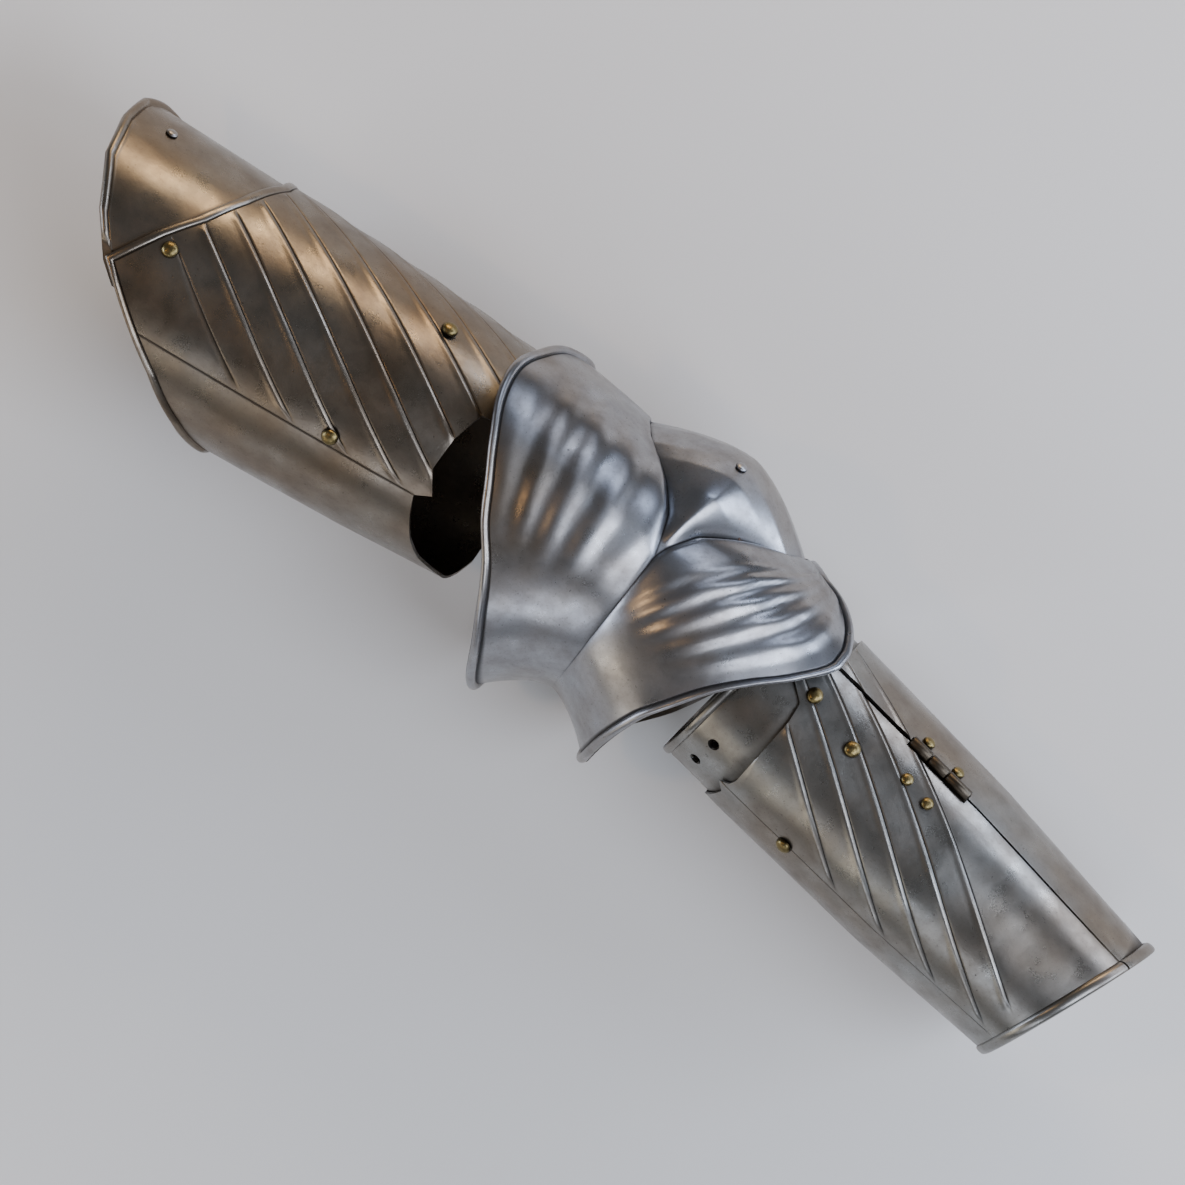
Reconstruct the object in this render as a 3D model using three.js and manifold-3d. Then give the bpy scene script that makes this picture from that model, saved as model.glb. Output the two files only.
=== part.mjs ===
// A left arm defence of steel plate: fluted upper cannon with a plain top plate,
// elbow cop with a two-lobed wing, and a lower cannon of two hinged halves.
// Millimetres. In the arm frame X runs down the arm to the wrist, Y points to the
// elbow side and Z to the outer side of the arm. Angles go round the arm from Y to Z.

import * as THREE from "three";
import Module from "manifold-3d";

const wasm = await Module();
wasm.setup();

// Driving dimensions
const PLATE = 1.3; // thickness of the cannons' plates
const GAP = 0.35; // clearance between pieces that lie on each other
const FLUTE_HEIGHT = 1.3; // how far a flute's ridge stands above its groove
const RIDGE_SHARE = 0.82; // place of the ridge between one groove and the next
const COLUMN_STEP = 8; // degrees between the columns of a plate's mesh

// Upper cannon: its axis in the arm frame, and its radius along the axis
const UPPER = { x: -263.6, y: -27.9, tilt: 6.55 };
const UPPER_RADII = [
  { s: -20, radius: 57.4 },
  { s: 64, radius: 55.8 },
  { s: 113, radius: 54.1 },
  { s: 149, radius: 52.5 },
  { s: 178, radius: 50.4 },
  { s: 212, radius: 48.2 },
];
const UPPER_TOP_EDGE = [
  { deg: 0, s: 58.2 },
  { deg: 18, s: 56.6 },
  { deg: 45, s: 45.5 },
  { deg: 64, s: 35.3 },
  { deg: 79, s: 24.2 },
  { deg: 99, s: 11.5 },
  { deg: 115, s: 28.3 },
  { deg: 135, s: 49.6 },
  { deg: 157, s: 67.7 },
  { deg: 180, s: 82 },
  { deg: 218, s: 89 },
  { deg: 250, s: 84 },
  { deg: 310, s: 65 },
  { deg: 360, s: 58.2 },
];
const UPPER_ELBOW_EDGE = [
  { deg: 0, s: 208 },
  { deg: 38, s: 209 },
  { deg: 66, s: 205 },
  { deg: 72, s: 176 },
  { deg: 88, s: 171.4 },
  { deg: 105, s: 170.2 },
  { deg: 117, s: 175.9 },
  { deg: 121, s: 169 },
  { deg: 132, s: 171.8 },
  { deg: 148, s: 177.1 },
  { deg: 161, s: 183.3 },
  { deg: 175, s: 195.2 },
  { deg: 220, s: 203 },
  { deg: 360, s: 208 },
];
// Grooves climb round the cannon: place of groove 0 at 90 degrees, spacing and slope
const UPPER_FLUTES = { count: 14, first: 46.7, pitch: 25.6, slope: 1.33, from: -45, to: 121 };

// Top plate: a tongue under the upper cannon, with a rolled rim at the shoulder
const TOP_PLATE_SPAN = { from: -33, to: 109 };
const TOP_PLATE_OVERLAP = 13;
const TOP_PLATE_RIM = [
  { deg: -33, s: 20 },
  { deg: -25, s: 11.5 },
  { deg: -7, s: -0.8 },
  { deg: 16, s: -10.7 },
  { deg: 38, s: -13 },
  { deg: 60, s: -10.7 },
  { deg: 83, s: -0.8 },
  { deg: 101, s: 11.5 },
  { deg: 109, s: 20 },
];

// Lower cannon: axis, radius along the axis, seams between the halves, wrist flange
const LOWER = { x: 98.4, y: -15.2, tilt: -6.9 };
const LOWER_RADII = [
  { s: -45, radius: 45.4 },
  { s: 0, radius: 44.7 },
  { s: 70, radius: 43.5 },
  { s: 135, radius: 39.4 },
  { s: 165, radius: 37.9 },
];
const SEAM = { hinge: 48, closing: 227, halfGap: 0.75 };
const WRIST = { s: 149.7, slope: 0.245, flange: 1.8, depth: 5.4, lip: 0.9 };
const OUTER_HALF_EDGE = [
  { deg: 40, s: -28.7 },
  { deg: 70, s: -27 },
  { deg: 79, s: -16 },
  { deg: 90, s: -13.9 },
  { deg: 136, s: -11.9 },
  { deg: 142, s: -13.1 },
  { deg: 146, s: -16.8 },
  { deg: 152, s: -13.1 },
  { deg: 180, s: -17.2 },
  { deg: 227, s: -17.2 },
];
const INNER_HALF_EDGE = -15.6;
const LOWER_FLUTES = { count: 5, first: -15.2, pitch: 27.7, slope: 1.43, bend: 0.0044, to: 145 };

// Lame between couter and lower cannon
const LAME = { from: -42.5, to: -6, radius: 43, holes: [{ s: -28.9, deg: 131 }, { s: -29.9, deg: 151 }] };
const LAME_HOLE_RADIUS = 2.6;

// Couter: distance of both rims from the middle, and radii at the rims and the waist
const COUTER_PLATE = 1.4;
const COUTER_RING = [
  { deg: 0, upperEdge: 72.2, upperRadius: 51.7, waist: 46.3, lowerRadius: 42.6, lowerEdge: 55.4 },
  { deg: 21, upperEdge: 83.2, upperRadius: 52.9, waist: 48, lowerRadius: 43.5, lowerEdge: 61.9 },
  { deg: 38, upperEdge: 89, upperRadius: 54.9, waist: 50.4, lowerRadius: 46.3, lowerEdge: 75.9 },
  { deg: 56, upperEdge: 93.9, upperRadius: 58.6, waist: 54.9, lowerRadius: 49.2, lowerEdge: 85.7 },
  { deg: 72, upperEdge: 91.4, upperRadius: 61.1, waist: 57.4, lowerRadius: 52.5, lowerEdge: 87.7 },
  { deg: 88, upperEdge: 82.4, upperRadius: 64, waist: 58.6, lowerRadius: 57, lowerEdge: 77.1 },
  { deg: 100, upperEdge: 73.8, upperRadius: 66.4, waist: 59, lowerRadius: 60.7, lowerEdge: 64.4 },
  { deg: 111, upperEdge: 65.6, upperRadius: 69.3, waist: 59.5, lowerRadius: 64.4, lowerEdge: 53.3 },
  { deg: 122, upperEdge: 54.5, upperRadius: 72.6, waist: 59.9, lowerRadius: 68.1, lowerEdge: 44.7 },
  { deg: 134, upperEdge: 45.5, upperRadius: 76.7, waist: 60.7, lowerRadius: 71.8, lowerEdge: 36.5 },
  { deg: 152, upperEdge: 35.3, upperRadius: 80.4, waist: 61.5, lowerRadius: 75.9, lowerEdge: 30.8 },
  { deg: 178, upperEdge: 27.9, upperRadius: 82.8, waist: 61.9, lowerRadius: 78.7, lowerEdge: 29.1 },
  { deg: 200, upperEdge: 26.2, upperRadius: 81.2, waist: 61.9, lowerRadius: 77.9, lowerEdge: 27.9 },
  { deg: 215, upperEdge: 29.5, upperRadius: 77.1, waist: 61.5, lowerRadius: 74.6, lowerEdge: 30.8 },
  { deg: 235, upperEdge: 45.9, upperRadius: 69.6, waist: 59, lowerRadius: 69.6, lowerEdge: 45.9 },
  { deg: 245, upperEdge: 53.5, upperRadius: 62.9, waist: 56.8, lowerRadius: 62.9, lowerEdge: 53 },
  { deg: 255, upperEdge: 59.9, upperRadius: 59, waist: 54.9, lowerRadius: 59, lowerEdge: 57.4 },
  { deg: 270, upperEdge: 65, upperRadius: 57, waist: 53.3, lowerRadius: 57, lowerEdge: 61 },
  { deg: 285, upperEdge: 67, upperRadius: 59, waist: 52.6, lowerRadius: 59, lowerEdge: 60.6 },
  { deg: 302, upperEdge: 67.7, upperRadius: 55.5, waist: 50.6, lowerRadius: 53, lowerEdge: 59.4 },
  { deg: 330, upperEdge: 67.7, upperRadius: 51.7, waist: 47.2, lowerRadius: 45.1, lowerEdge: 56.6 },
  { deg: 360, upperEdge: 72.2, upperRadius: 51.7, waist: 46.3, lowerRadius: 42.6, lowerEdge: 55.4 },
];
// Elbow dome: its height, and how far it spreads up and down the arm between the lobes
const DOME = [
  { deg: 0, height: 16.4, up: 34.8, down: 50 },
  { deg: 20, height: 18.5, up: 34.8, down: 49.6 },
  { deg: 35, height: 18.9, up: 30, down: 43 },
  { deg: 43, height: 17.5, up: 24, down: 34.4 },
  { deg: 54, height: 13, up: 14.4, down: 22.1 },
  { deg: 66, height: 5.5, up: 6.2, down: 9 },
  { deg: 78, height: 0, up: 2, down: 2 },
  { deg: 84, height: 0, up: 0, down: 0 },
  { deg: 290, height: 0, up: 0, down: 0 },
  { deg: 310, height: 3, up: 25, down: 35 },
  { deg: 340, height: 11.5, up: 34.8, down: 48 },
  { deg: 360, height: 16.4, up: 34.8, down: 50 },
];
const DOME_SHAPE = 1.6;
// Lobes: how much they swell, and the step along the dome
const LOBE = [
  { deg: 0, swell: 0.4, step: 0.8, flute: 0 },
  { deg: 20, swell: 1, step: 1.5, flute: 0.2 },
  { deg: 60, swell: 3, step: 1.7, flute: 1 },
  { deg: 80, swell: 4.2, step: 0.8, flute: 1 },
  { deg: 100, swell: 4.2, step: 0, flute: 0.5 },
  { deg: 114, swell: 3.6, step: 0, flute: 0 },
  { deg: 150, swell: 1.4, step: 0, flute: 0 },
  { deg: 190, swell: 0, step: 0, flute: 0 },
  { deg: 325, swell: 0, step: 0, flute: 0 },
  { deg: 360, swell: 0.4, step: 0.8, flute: 0 },
];
const FLARE_SHAPE = { outer: 1.05, inner: 1.6 };
// Flutes of each lobe, from the dome's edge (share 0) to the rim (share 1)
const UPPER_LOBE_FLUTES = [
  { share: 0.06, lift: 0.6 },
  { share: 0.18, lift: 0 },
  { share: 0.28, lift: 1 },
  { share: 0.38, lift: 0 },
  { share: 0.48, lift: 1 },
  { share: 0.57, lift: 0 },
  { share: 0.66, lift: 1 },
  { share: 0.75, lift: 0 },
  { share: 0.85, lift: 0.9 },
];
const LOWER_LOBE_FLUTES = [
  { share: 0.06, lift: 0.3 },
  { share: 0.11, lift: 0 },
  { share: 0.2, lift: 1 },
  { share: 0.28, lift: 0 },
  { share: 0.36, lift: 1 },
  { share: 0.45, lift: 0 },
  { share: 0.54, lift: 1 },
  { share: 0.63, lift: 0 },
  { share: 0.73, lift: 1 },
  { share: 0.85, lift: 0 },
];
const ROLL = { width: 3.6, height: 1.9 };

// Hinge between the halves of the lower cannon, along the cannon's axis
const HINGE = {
  from: 27.1,
  to: 59.9,
  radius: 45.4,
  barrel: 2.15,
  bore: 1.15,
  pin: 0.8,
  knuckles: [27.1, 37.6, 47.4, 59.9],
  knuckleGap: 0.3,
  leaf: { inside: 41.2, outside: 42.2 },
  neck: 3.1,
  notch: 3.8,
};
const LEAF_REACH = { outer: 25, inner: 15 };

// Rivets: heads, shanks and clenched tails
const SHANK_RADIUS = 1.4;
const TAIL = { radius: 2.6, height: 0.8 };
const DOMED_HEAD = { radius: 3.5, height: 2.4 };
const SMALL_HEAD = { radius: 2.5, height: 1.5 };
const HINGE_HEAD = { radius: 2.7, height: 1.7 };
const STUD_HEAD = { radius: 2.6, height: 4.5 };

// Leather inside the elbow, that the couter hangs on
const LEATHER = { width: 14, thickness: 2, drop: 3.4 };

// How the arm lies on a table: it turns about its length, then tips
const REST = { roll: 0.917, pitch: -0.057 };

const STEEL = { color: 0x8d8a84, roughness: 0.32, metalness: 1 };
const DARK_STEEL = { color: 0x6f6c67, roughness: 0.4, metalness: 1 };
const BRASS = { color: 0xb08a45, roughness: 0.3, metalness: 1 };
const LEATHER_BROWN = { color: 0x5a3b25, roughness: 0.85, metalness: 0 };

const radians = THREE.MathUtils.degToRad;

// Straight-line value of a table's column
function lineAt(rows, key, column, value) {
  if (value <= rows[0][key]) return rows[0][column];
  for (let i = 1; i < rows.length; i += 1) {
    const before = rows[i - 1];
    const after = rows[i];
    if (value <= after[key]) {
      const share = (value - before[key]) / (after[key] - before[key]);
      return THREE.MathUtils.lerp(before[column], after[column], share);
    }
  }
  return rows[rows.length - 1][column];
}

// Smooth value of a table's column that goes once round the arm
function ringAt(rows, column, deg) {
  const angle = THREE.MathUtils.euclideanModulo(deg, 360);
  const count = rows.length - 1;
  let i = 0;
  while (i < count - 1 && angle > rows[i + 1].deg) i += 1;
  const place = (index) => {
    const turn = Math.floor(index / count);
    const row = rows[index - turn * count];
    return { deg: row.deg + 360 * turn, value: row[column] };
  };
  const [p0, p1, p2, p3] = [place(i - 1), place(i), place(i + 1), place(i + 2)];
  const span = p2.deg - p1.deg;
  const t = (angle - p1.deg) / span;
  const m1 = ((p2.value - p0.value) / (p2.deg - p0.deg)) * span;
  const m2 = ((p3.value - p1.value) / (p3.deg - p1.deg)) * span;
  const low = Math.min(p1.value, p2.value);
  const high = Math.max(p1.value, p2.value);
  const value =
    (2 * t ** 3 - 3 * t ** 2 + 1) * p1.value +
    (t ** 3 - 2 * t ** 2 + t) * m1 +
    (3 * t ** 2 - 2 * t ** 3) * p2.value +
    (t ** 3 - t ** 2) * m2;
  const slack = (high - low) * 0.1;
  return THREE.MathUtils.clamp(value, low - slack, high + slack);
}

// Places on a ring round X
function onRing(s, deg, radius) {
  const angle = radians(deg);
  return new THREE.Vector3(s, radius * Math.cos(angle), radius * Math.sin(angle));
}

// Angles of a plate's columns
function columnsBetween(from, to) {
  const count = Math.max(1, Math.round((to - from) / COLUMN_STEP));
  return Array.from({ length: count + 1 }, (_, i) => from + ((to - from) * i) / count);
}

// Closed geometry from triangles: equal corners merged, flat triangles dropped
function closedGeometry(points, triangles) {
  const index = new Map();
  const unique = [];
  const ids = points.map((point) => {
    const key = `${point.x.toFixed(4)},${point.y.toFixed(4)},${point.z.toFixed(4)}`;
    if (!index.has(key)) {
      index.set(key, unique.length);
      unique.push(point);
    }
    return index.get(key);
  });
  let faces = triangles
    .map((corners) => corners.map((corner) => ids[corner]))
    .filter(([a, b, c]) => a !== b && b !== c && c !== a);
  const normal = new THREE.Vector3();
  const volume = faces.reduce((sum, [a, b, c]) => {
    normal.crossVectors(unique[b], unique[c]);
    return sum + unique[a].dot(normal);
  }, 0);
  if (volume < 0) faces = faces.map(([a, b, c]) => [a, c, b]);
  const geometry = new THREE.BufferGeometry();
  geometry.setAttribute(
    "position",
    new THREE.Float32BufferAttribute(unique.flatMap((point) => point.toArray()), 3),
  );
  geometry.setIndex(faces.flat());
  return geometry;
}

// A plate lofted round X through closed profiles of [along, out] points, one per angle
function loftRound(angles, profileAt, wholeRing) {
  const profiles = angles.map((deg) => profileAt(deg));
  const size = profiles[0].length;
  const points = profiles.flatMap((profile, i) =>
    profile.map((corner) => onRing(corner.x, angles[i], corner.y)),
  );
  const triangles = [];
  const steps = wholeRing ? angles.length : angles.length - 1;
  for (let i = 0; i < steps; i += 1) {
    const next = (i + 1) % angles.length;
    for (let j = 0; j < size; j += 1) {
      const up = (j + 1) % size;
      const [a, b, c, d] = [i * size + j, next * size + j, next * size + up, i * size + up];
      triangles.push([a, b, c], [a, c, d]);
    }
  }
  if (!wholeRing) {
    const last = (angles.length - 1) * size;
    endCap(profiles[0]).forEach((corners) => triangles.push(corners));
    endCap(profiles.at(-1)).forEach(([a, b, c]) => triangles.push([last + a, last + c, last + b]));
  }
  return closedGeometry(points, triangles);
}

// Triangles that close a thin profile, zipped from its first and last points inward
function endCap(profile) {
  const triangles = [];
  let [i, j] = [0, profile.length - 1];
  while (j - i > 1) {
    const forward = profile[i + 1].distanceTo(profile[j]);
    const backward = profile[j - 1].distanceTo(profile[i]);
    if (forward <= backward) {
      triangles.push([i, i + 1, j]);
      i += 1;
    } else {
      triangles.push([i, j - 1, j]);
      j -= 1;
    }
  }
  return triangles;
}

// Points of a rolled rim: end of the plate's face, direction along it, its normal
function rolledRim(end, along, scale) {
  const out = new THREE.Vector2(-along.y, along.x);
  if (out.y < 0) out.negate();
  const at = (back, up) =>
    end.clone().addScaledVector(along, -back * ROLL.width).addScaledVector(out, up * ROLL.height * scale);
  return [at(1.1, 0), at(0.85, 0.75), at(0.4, 1), at(0, 0.45)];
}

function toManifold(geometry) {
  return new wasm.Manifold(
    new wasm.Mesh({
      numProp: 3,
      vertProperties: new Float32Array(geometry.attributes.position.array),
      triVerts: new Uint32Array(geometry.index.array),
    }),
  );
}

function fromManifold(solid) {
  const mesh = solid.getMesh();
  const geometry = new THREE.BufferGeometry();
  geometry.setAttribute("position", new THREE.Float32BufferAttribute(mesh.vertProperties, 3));
  geometry.setIndex(Array.from(mesh.triVerts));
  return geometry;
}

// Corners of a standard shape merged, so that it is one closed surface
function merged(geometry) {
  const position = geometry.attributes.position;
  const points = Array.from({ length: position.count }, (_, i) =>
    new THREE.Vector3().fromBufferAttribute(position, i),
  );
  const order = geometry.index ? Array.from(geometry.index.array) : points.map((_, i) => i);
  const triangles = [];
  for (let i = 0; i < order.length; i += 3) triangles.push(order.slice(i, i + 3));
  return closedGeometry(points, triangles);
}

function cut(geometry, tools) {
  const solid = tools.reduce((rest, tool) => rest.subtract(toManifold(tool)), toManifold(geometry));
  return fromManifold(solid);
}

function join(pieces) {
  const [first, ...others] = pieces.map(toManifold);
  return fromManifold(others.reduce((whole, piece) => whole.add(piece), first));
}

// A drill that goes through a plate on the ring, square to it
function drill(s, deg, radius, size, sides = 10) {
  const tool = new THREE.CylinderGeometry(size, size, 24, sides);
  tool.applyQuaternion(pointingOut(deg));
  const middle = onRing(s, deg, radius);
  return merged(tool.translate(middle.x, middle.y, middle.z));
}

function pointingOut(deg) {
  return new THREE.Quaternion().setFromUnitVectors(new THREE.Vector3(0, 1, 0), onRing(0, deg, 1));
}

function pieceOf(name, geometry, look) {
  const flat = geometry.index ? geometry.toNonIndexed() : geometry;
  flat.computeVertexNormals();
  const piece = new THREE.Mesh(flat, new THREE.MeshStandardMaterial(look));
  piece.name = name;
  return piece;
}

// Upper cannon

function upperRadius(s) {
  return lineAt(UPPER_RADII, "s", "radius", s);
}

function upperTopEdge(deg) {
  return lineAt(UPPER_TOP_EDGE, "deg", "s", THREE.MathUtils.euclideanModulo(deg, 360));
}

// A groove's place: it climbs round the fluted part and comes back behind the arm
function upperGroove(number, deg) {
  const { first, pitch, slope, from, to } = UPPER_FLUTES;
  const start = first + number * pitch;
  const angle = THREE.MathUtils.euclideanModulo(deg - from, 360) + from;
  if (angle <= to) return start + slope * (angle - 90);
  const back = (from + 360 - angle) / (from + 360 - to);
  return start + slope * (THREE.MathUtils.lerp(from, to, back) - 90);
}

function upperFluted(deg) {
  const { from, to } = UPPER_FLUTES;
  const angle = THREE.MathUtils.euclideanModulo(deg - from, 360) + from;
  return THREE.MathUtils.clamp(Math.min(angle - from, to - angle) / 5, 0, 1);
}

function upperCannonGeometry() {
  const angles = columnsBetween(0, 360).slice(0, -1);
  const profileAt = (deg) => {
    const top = upperTopEdge(deg);
    const elbow = lineAt(UPPER_ELBOW_EDGE, "deg", "s", deg);
    const onTopPlate = deg < 100 || deg > 340;
    const rim = new THREE.Vector2(top, upperRadius(top));
    const roll = rolledRim(rim, new THREE.Vector2(-1, 0), onTopPlate ? 0.35 : 1).reverse();
    const face = [];
    for (let number = 0; number < UPPER_FLUTES.count; number += 1) {
      const groove = upperGroove(number, deg);
      const nextGroove = groove + UPPER_FLUTES.pitch;
      const last = number === UPPER_FLUTES.count - 1;
      const ridge = THREE.MathUtils.lerp(groove, nextGroove, RIDGE_SHARE);
      face.push({ s: groove, lift: 0 });
      if (!last) face.push({ s: ridge, lift: FLUTE_HEIGHT });
    }
    const start = top + ROLL.width * 1.1;
    const outer = face.map(({ s, lift }) => {
      const inside = s > start && s < elbow;
      const place = THREE.MathUtils.clamp(s, start, elbow);
      return new THREE.Vector2(place, upperRadius(place) + (inside ? lift * upperFluted(deg) : 0));
    });
    const wall = [elbow, 178, 149, 113, 64, top].map((s) => {
      const place = THREE.MathUtils.clamp(s, top, elbow);
      return new THREE.Vector2(place, upperRadius(place) - PLATE);
    });
    return [...roll, ...outer, new THREE.Vector2(elbow, upperRadius(elbow)), ...wall];
  };
  return loftRound(angles, profileAt, true);
}

function topPlateGeometry() {
  const angles = columnsBetween(TOP_PLATE_SPAN.from, TOP_PLATE_SPAN.to);
  const under = (s) => upperRadius(s) - PLATE - GAP;
  const profileAt = (deg) => {
    const rim = lineAt(TOP_PLATE_RIM, "deg", "s", deg);
    const tail = upperTopEdge(deg) + TOP_PLATE_OVERLAP;
    const free = THREE.MathUtils.clamp((upperTopEdge(deg) - rim - 2 * ROLL.width) / 4, 0, 1);
    const end = new THREE.Vector2(rim, under(rim));
    const roll = rolledRim(end, new THREE.Vector2(-1, 0), free).reverse();
    const middle = (rim + tail) / 2;
    const at = (s, lower) => new THREE.Vector2(s, under(s) - lower);
    return [...roll, at(middle, 0), at(tail, 0), at(tail, PLATE), at(middle, PLATE), at(rim, PLATE)];
  };
  return loftRound(angles, profileAt, false);
}

// Lower cannon

function lowerRadius(s) {
  return lineAt(LOWER_RADII, "s", "radius", s);
}

function lowerGroove(number, deg) {
  const { first, pitch, slope, bend } = LOWER_FLUTES;
  const turn = deg - 90;
  return first + number * pitch + slope * turn - bend * turn * turn;
}

function wristPoint(deg, back, radius) {
  return new THREE.Vector2(WRIST.s + WRIST.slope * radius * Math.cos(radians(deg)) - back, radius);
}

function halfCannonGeometry(from, to, edgeAt, firstFlute) {
  const angles = columnsBetween(from, to);
  const profileAt = (deg) => {
    const top = edgeAt(deg);
    const mouth = lowerRadius(WRIST.s);
    const crease = wristPoint(deg, WRIST.depth, mouth);
    const fluted = THREE.MathUtils.clamp((LOWER_FLUTES.to - deg) / 5, 0, 1);
    const before = lowerGroove(firstFlute, deg) - LOWER_FLUTES.pitch * (1 - RIDGE_SHARE);
    const face = [top, 0, 70].map((s) => ({ s: Math.min(s, before), lift: 0 }));
    face[0].s = top;
    for (let number = firstFlute; number < LOWER_FLUTES.count; number += 1) {
      const groove = lowerGroove(number, deg);
      face.push({ s: groove - LOWER_FLUTES.pitch * (1 - RIDGE_SHARE), lift: FLUTE_HEIGHT });
      face.push({ s: groove, lift: 0 });
    }
    const outer = face.map(({ s, lift }) => {
      const inside = s > top && s < crease.x;
      const place = THREE.MathUtils.clamp(s, top, crease.x);
      return new THREE.Vector2(place, lowerRadius(place) + (inside ? lift * fluted : 0));
    });
    const beyond = [70, 135].map((s) => {
      const place = Math.min(Math.max(outer.at(-1).x, s), crease.x);
      return new THREE.Vector2(place, lowerRadius(place));
    });
    const flange = [
      ...beyond,
      new THREE.Vector2(crease.x, lowerRadius(crease.x)),
      wristPoint(deg, WRIST.depth - 1.4, mouth + WRIST.flange),
      wristPoint(deg, 0, mouth + WRIST.flange - 0.3),
      wristPoint(deg, 0, mouth - WRIST.lip),
      wristPoint(deg, WRIST.depth - 1, mouth - PLATE),
    ];
    const wall = [135, 70, 0, top].map((s) => {
      const place = Math.max(s, top);
      return new THREE.Vector2(place, lowerRadius(place) - PLATE);
    });
    return [...outer, ...flange, ...wall];
  };
  return loftRound(angles, profileAt, false);
}

function lameGeometry() {
  const angles = columnsBetween(0, 360).slice(0, -1);
  const { from, to, radius } = LAME;
  const roll = rolledRim(new THREE.Vector2(from, radius), new THREE.Vector2(-1, 0), 0.6).reverse();
  const inside = radius - PLATE;
  const rest = [[to, radius], [to, inside], [from, inside]].map(([s, r]) => new THREE.Vector2(s, r));
  return loftRound(angles, () => [...roll, ...rest], true);
}

// Couter

// Height of a lobe's flutes at a share of the way from the dome's edge to the rim
function fluteLift(rows, share) {
  return lineAt([{ share: 0, lift: 0 }, ...rows, { share: 1, lift: 0 }], "share", "lift", share);
}

// The couter's outer face at a place along the arm and an angle; plain leaves out the flutes
function couterRadius(x, deg, plain = false) {
  const column = (name) => ringAt(COUTER_RING, name, deg);
  const spread = (name) => lineAt(DOME, "deg", name, THREE.MathUtils.euclideanModulo(deg, 360));
  const lobe = (name) => lineAt(LOBE, "deg", name, THREE.MathUtils.euclideanModulo(deg, 360));
  const towardWrist = x > 0;
  const edge = column(towardWrist ? "lowerEdge" : "upperEdge");
  const rimRadius = column(towardWrist ? "lowerRadius" : "upperRadius");
  const waist = column("waist");
  const inner = THREE.MathUtils.smoothstep(Math.abs(THREE.MathUtils.euclideanModulo(deg, 360) - 190), 30, 100);
  const flare = THREE.MathUtils.lerp(FLARE_SHAPE.inner, FLARE_SHAPE.outer, inner);
  const base = waist + (rimRadius - waist) * Math.min(1, Math.abs(x) / edge) ** flare;
  const [up, down] = [spread("up"), spread("down")];
  const peak = 0.6 * (down - up);
  const domeEdge = towardWrist ? down : up;
  const fromPeak = x > peak ? (x - peak) / (down - peak) : (peak - x) / (peak + up);
  if (down > 0 && fromPeak < 1) return base + spread("height") * (1 - fromPeak ** DOME_SHAPE);
  const share = THREE.MathUtils.clamp((Math.abs(x) - domeEdge) / (edge - domeEdge), 0, 1);
  const swell = lobe("swell") * Math.sin(Math.PI * share ** 0.7);
  if (plain) return base + swell;
  const step = lobe("step") * Math.min(1, share / 0.06) * (1 - share);
  const rows = towardWrist ? LOWER_LOBE_FLUTES : UPPER_LOBE_FLUTES;
  return base + swell + step + FLUTE_HEIGHT * lobe("flute") * fluteLift(rows, share);
}

function couterGeometry() {
  const angles = columnsBetween(0, 360).slice(0, -1);
  const profileAt = (deg) => {
    const spread = (name) => lineAt(DOME, "deg", name, deg);
    const [up, down] = [spread("up"), spread("down")];
    const peak = 0.6 * (down - up);
    const upperEdge = ringAt(COUTER_RING, "upperEdge", deg);
    const lowerEdge = ringAt(COUTER_RING, "lowerEdge", deg);
    const point = (x) => new THREE.Vector2(x, couterRadius(x, deg));
    const rimOf = (side, edge) => {
      const end = point(side * edge);
      const along = end.clone().sub(point(side * (edge - ROLL.width))).normalize();
      return { end, along, roll: rolledRim(end, along, 1) };
    };
    const upper = rimOf(-1, upperEdge);
    const lower = rimOf(1, lowerEdge);
    const upperLobe = UPPER_LOBE_FLUTES.map(({ share }) => point(-THREE.MathUtils.lerp(up, upperEdge, share)));
    const lowerLobe = LOWER_LOBE_FLUTES.map(({ share }) => point(THREE.MathUtils.lerp(down, lowerEdge, share)));
    const dome = [-up, THREE.MathUtils.lerp(peak, -up, 0.6), peak, THREE.MathUtils.lerp(peak, down, 0.6), down];
    const inside = ({ end, along }) => {
      const out = new THREE.Vector2(-along.y, along.x);
      if (out.y < 0) out.negate();
      return end.clone().addScaledVector(out, -COUTER_PLATE);
    };
    const under = (x) => new THREE.Vector2(x, couterRadius(x, deg, true) - COUTER_PLATE);
    const wall = [
      THREE.MathUtils.lerp(down, lowerEdge, 0.75),
      THREE.MathUtils.lerp(down, lowerEdge, 0.35),
      ...dome.toReversed(),
      -THREE.MathUtils.lerp(up, upperEdge, 0.35),
      -THREE.MathUtils.lerp(up, upperEdge, 0.75),
    ].map(under);
    return [
      ...upper.roll.toReversed(),
      ...upperLobe.toReversed(),
      ...dome.map(point),
      ...lowerLobe,
      ...lower.roll,
      inside(lower),
      ...wall,
      inside(upper),
    ];
  };
  return loftRound(angles, profileAt, true);
}

// Rivets, each a head, a shank and a clenched tail, with its plates' holes a little wider

function rivetGeometry(head, stack) {
  const { radius, height } = head;
  const outline = [
    [0, GAP + height],
    [radius * 0.62, GAP + height * 0.78],
    [radius, GAP + height * 0.2],
    [radius, GAP],
    [SHANK_RADIUS, GAP],
    [SHANK_RADIUS, -stack - GAP],
    [TAIL.radius, -stack - GAP],
    [TAIL.radius, -stack - GAP - TAIL.height],
    [0, -stack - GAP - TAIL.height],
  ].map(([x, y]) => new THREE.Vector2(x, y));
  return merged(new THREE.LatheGeometry(outline, 8));
}

// A rivet seated at a place on a plate whose outer face has the given radius there
function rivet(name, look, head, place, stack) {
  const piece = pieceOf(name, rivetGeometry(head, stack), look);
  piece.quaternion.copy(pointingOut(place.deg));
  piece.position.copy(onRing(place.s, place.deg, place.radius));
  return piece;
}

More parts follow.
